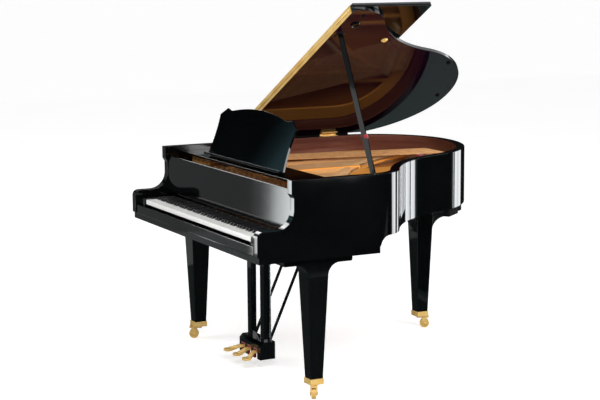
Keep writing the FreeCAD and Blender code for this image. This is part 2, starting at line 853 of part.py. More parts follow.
def make_bridges():
    """Long bridge for the plain strings and the raised bass bridge."""
    half = float(S.bridge_width) / 2
    long_bridge = feature("long_bridge", prism(bridge_strip(-half, half), SOUNDBOARD_TOP, STRING_LEVEL))
    line = along(BASS_BRIDGE_LINE)
    left = bass_x(0, line) - 2 * half
    right = bass_x(BASS_COUNT - 1, line) + 2 * half
    top = bass_z(float(line) - half) - float(S.bass_string_radius) - float(S.seat_gap)
    bass_bridge = feature("bass_bridge", plain_box((left, right), (line - half, line + half),
                                                   (SOUNDBOARD_TOP, top)))
    node(group("bridge_pair", [long_bridge, bass_bridge]), "bridges")


def make_plate():
    """Cast plate: web over the pin block, flange round the case, hitch rail, struts and skirt."""
    front = along(S.plate_front)
    web_back = along(S.plate_web_back)
    outer_inset = S.rim_thickness + S.plate_gap
    opening_inset = outer_inset + S.plate_flange
    whole = case_solid(outer_inset, front, PLATE_BOTTOM, PLATE_TOP)
    tail_opening = case_solid(opening_inset, web_back, PLATE_BOTTOM - 1, PLATE_TOP + 1)
    side = RIM_INNER - S.plate_gap - S.plate_side_flange
    middle = along(S.rim_cove_end)
    wide_opening = plain_box((-side, side), (web_back, middle), (PLATE_BOTTOM - 1, PLATE_TOP + 1))
    ring = whole.cut([tail_opening, wide_opening])
    rail = prism(bridge_strip(S.hitch_rail_offset, S.hitch_rail_offset + S.hitch_rail_width),
                 PLATE_BOTTOM, PLATE_TOP)
    web = prism(bridge_strip(S.hitch_rail_offset, S.case_length), PLATE_BOTTOM, PLATE_TOP).common(whole)
    keep = plain_box((treble_x(SECTION_STARTS[0]), S.case_half_width), (front, TAIL),
                     (PLATE_BOTTOM, PLATE_TOP))
    pieces = [ring, rail.common(whole), web.common(keep)]
    half = float(S.plate_bar_width) / 2
    for start in SECTION_STARTS:
        line = treble_x(start) - float(S.section_gap) / 2 - string_pitch() / 2
        back = bridge_y(start) + float(S.hitch_rail_offset + S.hitch_rail_width)
        pieces.append(plain_box((line - half, line + half), (web_back - S.bridge_width, back),
                                (PLATE_BOTTOM, PLATE_BOTTOM + S.plate_bar_height)))
    line = (bass_x(BASS_COUNT - 1, web_back) + treble_x(BASS_COUNT)) / 2
    back = bridge_y(BASS_COUNT) + float(S.hitch_rail_offset + S.hitch_rail_width)
    pieces.append(plain_box((line - half / 2, line + half / 2), (web_back - S.bridge_width, back),
                            (PLATE_BOTTOM, PLATE_TOP)))
    tie = along(BASS_HITCH_LINE)
    for tie_x in (float(S.rear_leg_side) - 2 * float(S.plate_flange), treble_x(SECTION_STARTS[0]) - 60):
        pieces.append(plain_box((tie_x - half, tie_x + half), (bridge_y(BASS_COUNT) - 100, tie),
                                (PLATE_BOTTOM, PLATE_TOP)))
    skirt_inset = outer_inset + S.plate_skirt
    skirt = prism(case_band(outer_inset, skirt_inset), SOUNDBOARD_TOP, PLATE_BOTTOM)
    pieces.append(behind(skirt, along(S.rim_cove_end)))
    solid = pieces[0]
    for piece in pieces[1:]:
        solid = solid.fuse(piece)
    reach = float(S.bridge_width) / 2 + float(S.bridge_passage)
    passage = prism(bridge_strip(-reach, reach), SOUNDBOARD_TOP, STRING_LEVEL + S.bridge_passage / 4)
    node(feature("iron_plate", solid.cut(passage).removeSplitter()), "iron_plate")
    inner = RIM_INNER - S.side_gap
    node(board("pin_block", (-inner, inner), (front, front + S.pin_block_depth),
               (PIN_BLOCK_BOTTOM, PLATE_BOTTOM)), "pin_block")


def string_pitch():
    """Distance between neighbouring plain strings."""
    return treble_x(BASS_COUNT + 1) - treble_x(BASS_COUNT)


def make_strings():
    """Wound and plain strings, their tuning pins on the web and their hitch pins at the back."""
    pins = []
    wound = []
    plain = []
    pin_radius = float(S.tuning_pin_radius)
    hitch_radius = float(S.hitch_pin_radius)
    gap = float(S.seat_gap)
    plate_top = float(PLATE_TOP)
    for note in range(NOTE_COUNT):
        if note < BASS_COUNT:
            radius = float(S.bass_string_radius)
            begin_y = float(along(bass_pin_line()))
            end_y = float(along(BASS_HITCH_LINE))
            begin = Vec(bass_x(note, begin_y), begin_y, bass_z(begin_y))
            end = Vec(bass_x(note, end_y), end_y, bass_z(end_y))
        else:
            radius = float(S.treble_string_radius)
            row = (note - BASS_COUNT) % TUNING_ROWS
            begin_y = float(along(S.tuning_pin_line + S.tuning_pin_row * row))
            level = float(STRING_LEVEL) + radius + gap
            end_y = bridge_y(note) + float(S.hitch_rail_offset + S.hitch_rail_width / 2)
            begin = Vec(treble_x(note), begin_y, level)
            end = Vec(treble_x(note), end_y, level)
        run = end - begin
        string = Part.makeCylinder(radius, run.Length, begin, run)
        (wound if note < BASS_COUNT else plain).append(string)
        beside = begin + Vec(pin_radius + radius + 2 * gap, 0, 0)
        beyond = end + run.normalize() * (hitch_radius + gap)
        pins.append(Part.makeCylinder(pin_radius, begin.z - plate_top + float(S.tuning_pin_height) / 2,
                                      Vec(beside.x, beside.y, plate_top)))
        pins.append(Part.makeCylinder(hitch_radius, end.z - plate_top + 2 * radius,
                                      Vec(beyond.x, beyond.y, plate_top)))
    node(feature("string_pins", Part.makeCompound(pins)), "string_pins")
    node(feature("bass_strings", Part.makeCompound(wound)), "bass_strings")
    node(feature("treble_strings", Part.makeCompound(plain)), "treble_strings")


# Keys and action


def make_keys():
    """Eighty-eight keys, gathered by note name so that neighbours still move on their own."""
    nodes = {name: [] for name in PITCH_NAMES}
    width = float(S.white_key_width)
    slot = width * 7 / 12
    gap = float(S.key_gap)
    left_end = -float(KEYBOARD_HALF)
    front = float(along(S.key_front))
    black_front = float(along(S.black_key_front))
    black_back = float(along(S.black_key_back))
    end = float(along(S.key_end))
    for note in range(NOTE_COUNT):
        octave, pitch = divmod(note + FIRST_PITCH, 12)
        octave_left = left_end + (7 * octave - WHITE_STEPS[FIRST_PITCH]) * width
        low = octave_left + pitch * slot
        high = low + slot
        if pitch in WHITE_STEPS:
            key_low = octave_left + WHITE_STEPS[pitch] * width
            key_high = key_low + width
            tail_low = key_low if note == 0 else max(low, key_low)
            tail_high = key_high if note == NOTE_COUNT - 1 or pitch == 4 else min(high, key_high)
            key = prism(white_outline(key_low + gap, key_high - gap, tail_low + gap, tail_high - gap,
                                      front, black_front - gap, end), KEY_BOTTOM, KEY_TOP)
        else:
            middle = (low + high) / 2
            half = float(S.black_key_width) / 2
            top = KEY_TOP + S.black_key_rise
            key = side_prism([
                (black_front + gap, KEY_BOTTOM),
                (black_front + gap, KEY_TOP),
                (black_front + gap + float(S.black_key_slope), top, 3),
                (black_back, top),
                (black_back, KEY_TOP),
                (end, KEY_TOP),
                (end, KEY_BOTTOM),
            ], middle - half, middle + half)
        nodes[PITCH_NAMES[pitch]].append(key)
    for name, keys in nodes.items():
        node(feature("keys_" + name, Part.makeCompound(keys)), "keys_" + name)


def white_outline(key_low, key_high, tail_low, tail_high, front, shoulder, end):
    """Outline of a white key, cut away where black keys stand beside it."""
    corners = [(key_low, front, 1.5), (key_high, front, 1.5)]
    if tail_high < key_high:
        corners += [(key_high, shoulder), (tail_high, shoulder)]
    corners += [(tail_high, end), (tail_low, end)]
    if tail_low > key_low:
        corners += [(tail_low, shoulder), (key_low, shoulder)]
    return rounded_polygon(corners)


def hammer_places():
    """Place across the piano of every hammer, under its string."""
    line = along(S.hammer_line + S.hammer_length)
    return [bass_x(note, line) if note < BASS_COUNT else treble_x(note) for note in range(NOTE_COUNT)]


def make_action():
    """Key frame with balance bead, hammer rail and brackets, then hammers and dampers."""
    half = KEYBOARD_HALF
    low = S.rim_bottom + S.seat_gap
    front = along(S.key_front) + 5
    balance = along(S.balance_line)
    back = along(S.key_end) - S.back_rail_width / 2
    back_top = KEY_BOTTOM - S.running_gap
    rail_half = S.balance_rail_width / 2
    hammer = along(S.hammer_line)
    rail_back = hammer - S.hammer_knuckle_radius - S.running_gap
    pieces = [
        board("front_rail", (-half, half), (front, front + S.front_rail_width),
              (low, low + S.front_rail_height)),
        board("balance_rail", (-half, half), (balance - rail_half, balance + rail_half), (low, BALANCE_AXIS)),
        rod("balance_bead", S.balance_bead_radius, point(-half, balance, BALANCE_AXIS), 2 * half,
            Vec(1, 0, 0)),
        board("back_rail", (-half, half), (back, back + S.back_rail_width), (low, back_top)),
        board("hammer_rail", (-half - S.section_gap, half + S.section_gap),
              (rail_back - S.hammer_rail_width, rail_back),
              (HAMMER_AXIS - S.hammer_rail_width, HAMMER_AXIS + S.shank_height)),
    ]
    for index, side in enumerate((-half, -half / 3, half / 3, half - S.balance_rail_width / 2)):
        pieces.append(board("frame_stile_%d" % index, (side, side + S.balance_rail_width / 2),
                            (front, back + S.back_rail_width), (low, low + S.front_rail_height / 2)))
    places = hammer_places()
    breaks = [(places[start - 1] + places[start]) / 2 for start in (BASS_COUNT,) + SECTION_STARTS]
    post_back = back + S.back_rail_width
    post_front = along(S.key_end) + 8
    beam_top = HAMMER_AXIS - S.shank_height
    beam_low = beam_top - S.hammer_rail_width / 2
    for index, middle in enumerate(breaks):
        pieces.append(feature("bracket_%d" % index, side_prism([
            (post_front, low),
            (post_back, low),
            (post_back, beam_top),
            (rail_back - S.hammer_rail_width / 2, beam_top),
            (rail_back - S.hammer_rail_width / 2, beam_low),
            (post_front, beam_low),
        ], middle - float(S.bracket_width) / 2, middle + float(S.bracket_width) / 2)))
    node(fuse("action_frame_pieces", pieces), "action_frame")
    make_hammers(places)
    make_dampers()


def make_hammers(places):
    """Felt hammers on shanks whose round butts turn on one line."""
    axis_y = float(along(S.hammer_line))
    axis_z = float(HAMMER_AXIS)
    butt = float(S.hammer_knuckle_radius)
    shank = float(S.shank_height) / 2
    head_y = axis_y + float(S.hammer_length)
    head = float(S.hammer_head_depth) / 2
    top = axis_z + float(S.hammer_head_height)
    half = float(S.hammer_width) / 2
    hammers = []
    for middle in places:
        blade = side_prism([
            (axis_y, axis_z - shank),
            (head_y + head / 2, axis_z - shank),
            (head_y + head, axis_z + 3 * shank),
            (head_y, top, 4),
            (head_y - head, axis_z + 3 * shank),
            (head_y - head / 2, axis_z + shank),
            (axis_y, axis_z + shank),
        ], middle - half, middle + half)
        round_butt = Part.makeCylinder(butt, 2 * half, Vec(middle - half, axis_y, axis_z), Vec(1, 0, 0))
        hammers.append(blade.fuse(round_butt).removeSplitter())
    node(feature("hammers", Part.makeCompound(hammers)), "hammers")


def make_dampers():
    """Felt damper heads on wires that rise from one lifting tray."""
    line = float(along(S.damper_line))
    depth = float(S.damper_depth) / 2
    half = float(S.damper_width) / 2
    tray_top = float(DAMPER_TRAY_BOTTOM + S.damper_tray_thickness)
    pieces = []
    for note in range(DAMPER_COUNT):
        if note < BASS_COUNT:
            middle = bass_x(note, line)
            low = bass_z(line + depth) + float(S.bass_string_radius + S.running_gap)
            beside = float(S.bass_string_pitch) / 2
        else:
            middle = treble_x(note)
            low = float(STRING_LEVEL) + 2 * float(S.treble_string_radius) + float(S.seat_gap + S.running_gap)
            beside = string_pitch() / 2
        wire_x = middle - beside
        head = plain_box((wire_x - 1.5 * float(S.damper_wire_radius), middle + half),
                         (line - depth, line + depth),
                         (low, low + float(S.damper_height)))
        wire = Part.makeCylinder(float(S.damper_wire_radius), low - tray_top + 1, Vec(wire_x, line, tray_top))
        pieces.append(head.fuse(wire))
    left = float(BASS_STRING_LEFT)
    tray = plain_box((left, treble_x(DAMPER_COUNT)), (line - float(S.damper_tray_width) / 2,
                     line + float(S.damper_tray_width) / 2), (DAMPER_TRAY_BOTTOM, tray_top))
    node(feature("dampers", Part.makeCompound([tray] + pieces)), "dampers")


# Fallboard and music desk


def make_fallboard():
    """Board behind the keys that swings forward over them, with a pivot pin at each end."""
    inner = RIM_INNER - S.side_gap
    axis_y = along(S.fallboard_line)
    half = S.fallboard_thickness / 2
    lower = FALLBOARD_AXIS - S.fallboard_thickness / 2
    upper = FALLBOARD_AXIS + S.fallboard_height
    panel = padded_body("fallboard_panel", "YZ_Plane", rounded_polygon([
        (axis_y - half, lower, 5),
        (axis_y + half, lower, 5),
        (axis_y + half + S.fallboard_lean, upper, 3),
        (axis_y - half + S.fallboard_lean, upper, 3),
    ]), -inner, inner)
    reach = inner + S.side_gap - S.running_gap
    pin = rod("fallboard_pin", S.fallboard_pin_radius, point(-reach, axis_y, FALLBOARD_AXIS), 2 * reach,
              Vec(1, 0, 0))
    node(fuse("fallboard_pinned", [panel, pin]), "fallboard")


def make_music_desk():
    """Sliding tray on two rails, tilting desk with its ledge, and the strut behind it."""
    inner = RIM_INNER
    front = along(S.tray_front)
    back = along(S.tray_back)
    tray_bottom = TRAY_TOP - S.tray_thickness
    rail_top = tray_bottom - S.running_gap
    rails = []
    for name, side in (("bass", (-inner, S.desk_rail_width - inner)),
                       ("treble", (inner - S.desk_rail_width, inner))):
        rails.append(board("desk_rail_" + name, side, (front, back),
                           (rail_top - S.desk_rail_height, rail_top)))
    node(group("desk_rail_pair", rails), "desk_rails")
    tray_half = inner - S.side_gap
    node(board("desk_tray", (-tray_half, tray_half), (front, back), (tray_bottom, TRAY_TOP)), "desk_tray")
    bottom = S.desk_bottom_half
    front_face = S.desk_setback + S.desk_thickness
    panel = padded_body("desk_panel", "XZ_Plane", desk_outline(), S.desk_setback, front_face)
    barrel = rod("desk_barrel", S.desk_barrel_radius, point(-bottom, 0, 0), 2 * bottom, Vec(1, 0, 0))
    ledge = board("desk_ledge", (-bottom, bottom), (-front_face - S.desk_ledge_depth, -S.desk_setback),
                  (-S.desk_barrel_radius / 2, S.desk_ledge_height))
    desk = fuse("music_desk_pieces", [panel, barrel, ledge])
    tilt = FreeCAD.Rotation(Vec(1, 0, 0), -float(S.desk_tilt))
    axis = point(0, along(S.desk_line), DESK_AXIS)
    desk.Placement = FreeCAD.Placement(axis, tilt)
    node(desk, "music_desk")
    make_desk_strut(axis, tilt)


def desk_outline():
    """Scrolled outline: hollow sides, two raised ears and a crowned top."""
    sides = []
    for side in (1, -1):
        foot = point(side * S.desk_bottom_half, 0)
        waist = point(side * S.desk_waist_half, S.desk_ear_height / 2)
        ear = point(side * S.desk_ear_half, S.desk_ear_height)
        tip = point(side * S.desk_tip_half, S.desk_tip_height)
        dip = point(side * S.desk_dip_half, S.desk_tip_height - S.desk_dip_depth / 2)
        hollow = point(side * (S.desk_tip_half + S.desk_dip_half) / 2, S.desk_tip_height - S.desk_dip_depth)
        sides += [Part.Arc(foot, waist, ear), Part.LineSegment(ear, tip), Part.Arc(tip, hollow, dip)]
    crown = Part.Arc(sides[2].EndPoint, point(0, S.desk_crown_height), sides[5].EndPoint)
    return sides + [crown, Part.LineSegment(sides[3].StartPoint, sides[0].StartPoint)]


def desk_strut_angles():
    """Rest angle of the strut from level, in the plane of Y and Z, and the desk's own angle."""
    tilt = FreeCAD.Rotation(Vec(1, 0, 0), -float(S.desk_tilt))
    pivot = point(0, along(S.desk_line), DESK_AXIS) + tilt.multVec(strut_pivot())
    foot_level = float(TRAY_TOP + S.running_gap + S.strut_thickness / 2)
    drop = pivot.z - foot_level
    angle = -math.degrees(math.asin(drop / float(S.strut_length)))
    return pivot, angle


def strut_pivot():
    """Place of the strut's pivot in the desk's own frame, just behind its back face."""
    return point(0, -S.desk_setback + S.running_gap + S.strut_thickness / 2, S.strut_pivot_height)


def make_desk_strut(axis, tilt):
    """Leg that hinges on the desk's back and stands on the tray."""
    pivot, angle = desk_strut_angles()
    half = S.strut_thickness / 2
    length = S.strut_length
    strut = padded_body("desk_strut", "YZ_Plane", rounded_polygon([
        (-half, -half, half * 0.98),
        (length + half, -half, half * 0.98),
        (length + half, half, half * 0.98),
        (-half, half, half * 0.98),
    ]), -S.strut_half_width, S.strut_half_width)
    strut.Placement = FreeCAD.Placement(pivot, FreeCAD.Rotation(Vec(1, 0, 0), angle))
    node(strut, "desk_strut")


# Lid, flap and hinges


def lid_placement():
    """Where the closed lid's own frame stands once the lid is raised about its hinge line."""
    turn = FreeCAD.Rotation(Vec(0, -1, 0), float(S.lid_angle))
    return FreeCAD.Placement(point(LID_AXIS_X, 0, LID_AXIS_Z), turn)


def raised(thing, label):
    """Register a piece that is drawn in the closed lid's frame."""
    thing.Placement = lid_placement().multiply(thing.Placement)
    return node(thing, label)


def in_lid(edges):
    """Move an outline from the piano's frame to the lid's own."""
    moved = []
    for edge in edges:
        copy = edge.copy()
        copy.translate(Vec(-float(LID_AXIS_X), 0, 0))
        moved.append(copy)
    return moved


def make_lid():
    """Main lid, front flap folded back on it, and the brass between them and the case."""
    split = along(S.lid_split) + S.flap_leaf_thickness
    panel = padded_body("lid_panel", "XY_Plane", in_lid(case_region(-S.lid_overhang)), LID_BOTTOM, LID_TOP)
    spine = S.lid_spine_inset - S.lid_hinge_inset
    level = (LID_BOTTOM - 1, LID_TOP + 1)
    strips = [
        board("lid_spine_strip", (-S.case_half_width, spine), (FRONT - 1, TAIL + S.case_length), level),
        board("lid_front_strip", (-S.case_half_width, 3 * S.case_half_width), (FRONT - 1, split), level),
    ]
    raised(cut("lid_main_trimmed", panel, group("lid_strips", strips)), "lid_main")
    far_side = 2 * S.case_half_width - S.lid_hinge_inset + S.lid_overhang
    depth = S.lid_split - S.cheek_front + S.lid_overhang
    flap_low = LID_TOP + S.flap_stack_gap
    flap_spine = S.flap_spine_inset - S.lid_hinge_inset
    corner = S.lid_corner_radius
    flap = padded_body("lid_flap", "XY_Plane", rounded_polygon([
        (flap_spine, split),
        (far_side, split),
        (far_side, split + depth, corner),
        (flap_spine, split + depth, corner),
    ]), flap_low, flap_low + S.lid_thickness)
    raised(flap, "lid_flap")
    make_flap_hinge(flap_spine, far_side, split, flap_low)
    make_lid_hinges(spine)


def make_flap_hinge(spine, far_side, split, flap_low):
    """Continuous brass hinge: a leaf on each front edge and knuckles that take turns."""
    axis_y = float(along(FLAP_AXIS_Y))
    axis_z = float(FLAP_AXIS_Z)
    radius = float(S.flap_barrel_radius)
    inset = float(S.lid_corner_radius) + 10
    start = float(spine) + inset
    end = float(far_side) - inset
    leaf_y = (split - S.flap_leaf_thickness, split)
    clear = radius + 0.3
    leaves = {
        "flap_hinge_main_leaf": [plain_box((start, end), leaf_y, (LID_BOTTOM, axis_z - clear))],
        "flap_hinge_flap_leaf": [plain_box((start, end), leaf_y,
                                           (axis_z + clear, flap_low + S.lid_thickness))],
    }
    count = int((end - start) / float(S.knuckle_length))
    step = (end - start) / count
    for index in range(count):
        low = start + index * step + 0.25
        high = low + step - 0.5
        barrel = Part.makeCylinder(radius, high - low, Vec(low, axis_y, axis_z), Vec(1, 0, 0))
        if index % 2 == 0:
            tab = plain_box((low, high), leaf_y, (axis_z - clear - 0.5, axis_z))
            leaves["flap_hinge_main_leaf"] += [barrel, tab]
        else:
            tab = plain_box((low, high), leaf_y, (axis_z, axis_z + clear + 0.5))
            leaves["flap_hinge_flap_leaf"] += [barrel, tab]
    for label, pieces in leaves.items():
        raised(feature(label, pieces[0].fuse(pieces[1:]).removeSplitter()), label)


def prop_reach():
    """Distance of the prop's cup from the lid's hinge, measured in from the lid's treble edge."""
    edge = treble_edge(-S.lid_overhang, along(S.prop_target))
    return edge - float(LID_AXIS_X) - float(S.prop_reach)


def make_lid_hinges(spine):
    """Two butt hinges on the spine, with the prop's cup among the lid's own fittings."""
    radius = float(S.lid_hinge_radius)
    third = float(S.lid_hinge_length) / 3
    leaf = float(S.lid_hinge_leaf)
    thick = float(S.leaf_thickness)
    case_side = []
    lid_side = []
    axis = point(LID_AXIS_X, 0, LID_AXIS_Z)
    for line in (S.lid_hinge_first, S.lid_hinge_second):
        start = float(along(line)) - 1.5 * third
        plate = plain_box((axis.x, axis.x + leaf), (start, start + 3 * third),
                          (S.case_top, S.case_top + thick))
        middle_gap = plain_box((axis.x - 10, axis.x + radius + 0.5),
                               (start + third - 0.3, start + 2 * third + 0.3),
                               (S.case_top - 10, S.case_top + 10))
        ends = [Part.makeCylinder(radius, third - 0.2, Vec(axis.x, start + offset, axis.z), Vec(0, 1, 0))
                for offset in (0, 2 * third + 0.2)]
        case_side.append(plate.cut(middle_gap).fuse(ends).removeSplitter())
        lid_low = float(LID_BOTTOM) - thick
        lid_plate = plain_box((0, leaf), (start, start + 3 * third), (lid_low, LID_BOTTOM))
        end_gaps = [plain_box((-10, radius + 0.5), (start - 1 + offset, start + third + 0.3 + offset),
                              (-10, 10))
                    for offset in (0, 2 * third - 0.3 + 1)]
        knuckle = Part.makeCylinder(radius, third - 0.4, Vec(0, start + third + 0.2, 0), Vec(0, 1, 0))
        lid_side.append(lid_plate.cut(end_gaps).fuse(knuckle).removeSplitter())
    node(feature("lid_hinge_case_leaves", Part.makeCompound(case_side)), "lid_hinge_case_leaves")
    cup_half = float(S.prop_cup_half)
    reach = prop_reach()
    target = float(along(S.prop_target))
    cup = plain_box((reach - cup_half, reach + cup_half), (target - cup_half, target + cup_half),
                    (LID_BOTTOM - S.prop_cup_thickness, LID_BOTTOM))
    raised(feature("lid_fittings", Part.makeCompound(lid_side + [cup])), "lid_fittings")


# Prop


def prop_frame():
    """Pivot, direction, fold axis and length of the raised prop."""
    side = treble_edge(S.rim_thickness, along(S.prop_line)) - float(S.prop_side_offset)
    pivot = point(side, along(S.prop_line), PROP_Z)
    cup_face = point(prop_reach(), along(S.prop_target), LID_BOTTOM - S.prop_cup_thickness)
    target = lid_placement().multVec(cup_face)
    reach = target - pivot
    length = reach.Length - float(S.prop_tip_gap)
    upright = reach.normalize()
    heading = math.radians(float(S.prop_fold_heading))
    folded = Vec(math.cos(heading), math.sin(heading), 0)
    axis = upright.cross(folded).normalize()
    fold = math.degrees(upright.getAngle(folded))
    return pivot, upright, axis, length, fold


def prop_placement():
    """The prop's own frame: its length along Z and its pivot pin along X."""
    pivot, upright, axis, length, fold = prop_frame()
    side = upright.cross(axis)
    turn = FreeCAD.Rotation(FreeCAD.Matrix(
        axis.x, side.x, upright.x, 0,
        axis.y, side.y, upright.y, 0,
        axis.z, side.z, upright.z, 0,
        0, 0, 0, 1))
    return FreeCAD.Placement(pivot, turn)


def make_prop():
    """Bracket on the treble rim, main prop with its eye, and the short prop beside it."""
    pivot, upright, axis, length, fold = prop_frame()
    place = prop_placement()
    half = float(S.prop_width) / 2
    eye = float(S.prop_eye_radius)
    pin = float(S.prop_pin_radius)
    gap = float(S.running_gap)
    thick = float(S.prop_thickness) / 2
    stick = Part.makeBox(2 * half, 2 * thick, length, Vec(-half, -thick, 0))
    boss = Part.makeCylinder(eye, 2 * half, Vec(-half, 0, 0), Vec(1, 0, 0))
    bore = Part.makeCylinder(pin + float(S.pin_clearance), 4 * half, Vec(-2 * half, 0, 0), Vec(1, 0, 0))
    short_y = float(S.short_prop_width) + thick
    pin_side = Part.makeCylinder(pin / 2, short_y, Vec(-half / 2, thick - 1, float(S.short_prop_start)),
                                 Vec(0, 1, 0))
    main = stick.fuse([boss]).cut(bore).fuse(pin_side).removeSplitter()
    prop = feature("prop_main", main)
    prop.Placement = place
    node(prop, "prop_main")
    make_short_prop(place, half, thick, pin)
    cheek = float(S.prop_cheek)
    cheeks = []
    for low in (-half - gap - cheek, half + gap):
        plate = Part.makeBox(cheek, 2 * eye, 4 * eye, Vec(low, -eye, -3 * eye))
        cheeks.append(plate)
    pin_rod = Part.makeCylinder(pin, 2 * (half + gap + cheek), Vec(-half - gap - cheek, 0, 0), Vec(1, 0, 0))
    tilted = cheeks[0].fuse(cheeks[1]).fuse(pin_rod)
    tilted.Placement = place
    inner = float(RIM_INNER)
    depth = 2 * (half + cheek + PROP_BASE_EDGE)
    eye_drop = eye * math.hypot(axis.x, axis.y) + half * abs(axis.z) + float(S.prop_tip_gap)
    base = plain_box((pivot.x - depth, inner), (pivot.y - depth, pivot.y + depth),
                     (pivot.z - 3 * eye, pivot.z - eye_drop))
    room = prism(case_region(S.rim_thickness), pivot.z - 3 * eye, S.case_top)
    bracket = tilted.fuse(base).common(room).removeSplitter()
    node(feature("prop_bracket", bracket), "prop_bracket")


def make_short_prop(place, half, thick, pin):
    """Short prop for the half-open lid, turning on the pin in the main prop's side."""
    width = float(S.short_prop_width) / 2
    start = float(S.short_prop_start)
    low = thick + float(S.running_gap)
    depth = float(S.short_prop_width) * 0.7
    length = float(S.short_prop_length)
    stick = Part.makeBox(2 * width, depth, length, Vec(-width, low, 0))
    eye = Part.makeCylinder(width, depth, Vec(0, low, 0), Vec(0, 1, 0))
    bore = Part.makeCylinder(pin / 2 + float(S.pin_clearance), 3 * depth, Vec(0, low - depth, 0),
                             Vec(0, 1, 0))
    short = stick.fuse(eye).cut(bore).removeSplitter()
    lean = FreeCAD.Rotation(Vec(0, 1, 0), -float(S.short_prop_angle))
    thing = feature("prop_short", short)
    thing.Placement = place.multiply(FreeCAD.Placement(Vec(-half / 2, 0, start), lean))
    node(thing, "prop_short")


# Legs and casters


def leg_places():
    """Middle, top, turn of the head and caster heading of each leg."""
    return (
        ("front_left", -LEG_SIDE, S.leg_line, KEYBED_BOTTOM, 0, CASTER_HEADINGS[0]),
        ("front_right", LEG_SIDE, S.leg_line, KEYBED_BOTTOM, 0, CASTER_HEADINGS[1]),
        ("rear", S.rear_leg_side, REAR_LEG_LINE, REAR_LEG_TOP, 90, CASTER_HEADINGS[2]),
    )


def square(half):
    """Square outline about the origin."""
    half = float(half)
    return rounded_polygon([(-half, -half), (half, -half), (half, half), (-half, half)])


def make_legs():
    """Square tapered legs with coved heads, brass ferrules, and swivelling casters."""
    ferrules = []
    for name, side, line, top, turn, heading in leg_places():
        reach = S.leg_head_length / 2
        shaft = S.leg_top_width / 2
        plate = top - S.leg_head_plate
        cove = S.leg_head_cove
        body = padded_body("leg_" + name, "YZ_Plane", rounded_polygon([
            (-reach, top),
            (reach, top),
            (reach, plate, 8),
            (shaft, plate, cove * 0.95),
            (shaft, plate - cove),
            (-shaft, plate - cove),
            (-shaft, plate, cove * 0.95),
            (-reach, plate, 8),
        ]), -shaft, shaft)
        loft = body.newObject("PartDesign::AdditiveLoft", "leg_%s_shaft" % name)
        loft.Profile = sketch_in(body, "leg_%s_top" % name, "XY_Plane", square(shaft), plate - cove)
        loft.Sections = [sketch_in(body, "leg_%s_foot" % name, "XY_Plane",
                                   square(S.leg_bottom_width / 2), S.leg_bottom)]
        body.Placement.Rotation = FreeCAD.Rotation(Vec(0, 0, 1), turn)
        bind(body, "Placement.Base.x", side)
        bind(body, "Placement.Base.y", along(line))
        node(body, "leg_" + name)
        ferrules.append(make_ferrule(name, side, line))
        make_caster(name, side, line, heading)
    node(group("leg_ferrule_set", ferrules), "leg_ferrules")


def make_ferrule(name, side, line):
    """Brass shoe under a leg, bored for the caster's stem."""
    half = S.ferrule_width / 2
    middle = along(line)
    shoe = board("ferrule_blank_" + name, (side - half, side + half), (middle - half, middle + half),
                 (FERRULE_BOTTOM, S.leg_bottom))
    bore = rod("ferrule_bore_" + name, S.caster_stem_radius + S.pin_clearance,
               point(side, middle, FERRULE_BOTTOM - 1), S.caster_stem_length + 2)
    return cut("ferrule_" + name, shoe, bore)


def make_caster(name, side, line, heading):
    """Fork on a swivel stem, and its wheel on an axle behind the stem."""
    trail = float(S.caster_trail)
    half = float(S.caster_half_width)
    cheek = float(S.caster_cheek)
    crown_top = float(FERRULE_BOTTOM - S.caster_plate_gap)
    crown_low = crown_top - float(S.caster_crown)
    radius = float(S.wheel_radius)
    axle = float(S.axle_radius)
    crown = Part.makeBox(trail + 2.4 * half, 2 * half, crown_top - crown_low, Vec(-half, -half, crown_low))
    stem = Part.makeCylinder(float(S.caster_stem_radius),
                             float(S.caster_plate_gap + S.caster_stem_length), Vec(0, 0, crown_top - 0.5))
    cheeks = [Part.makeBox(1.6 * half, cheek, crown_low + 1 - radius + 8,
                           Vec(trail - 0.8 * half, low, radius - 8))
              for low in (-half, half - cheek)]
    pin = Part.makeCylinder(axle, 2 * half, Vec(trail, -half, radius), Vec(0, 1, 0))
    fork = crown.fuse([stem, pin] + cheeks).removeSplitter()
    wheel_half = float(S.wheel_width) / 2
    tyre = Part.makeCylinder(radius, 2 * wheel_half, Vec(trail, -wheel_half, radius), Vec(0, 1, 0))
    hole = Part.makeCylinder(axle + float(S.pin_clearance), 4 * wheel_half,
                             Vec(trail, -2 * wheel_half, radius), Vec(0, 1, 0))
    place = FreeCAD.Placement(point(side, along(line), 0), FreeCAD.Rotation(Vec(0, 0, 1), heading))
    for label, shape in (("caster_fork_", fork), ("caster_wheel_", tyre.cut(hole))):
        thing = feature(label + name, shape)
        thing.Placement = place
        node(thing, label + name)


# Lyre and pedals


def pedal_x(index):
    """Place across the piano of one pedal, counted from the bass side."""
    return S.pedal_spacing * (index - 1)


def rod_base(index, level):
    """Point on the axis of one pedal's lifting rod."""
    return point(S.pedal_rod_spacing * (index - 1), along(PEDAL_AXIS_Y + S.pedal_rod_back), level)


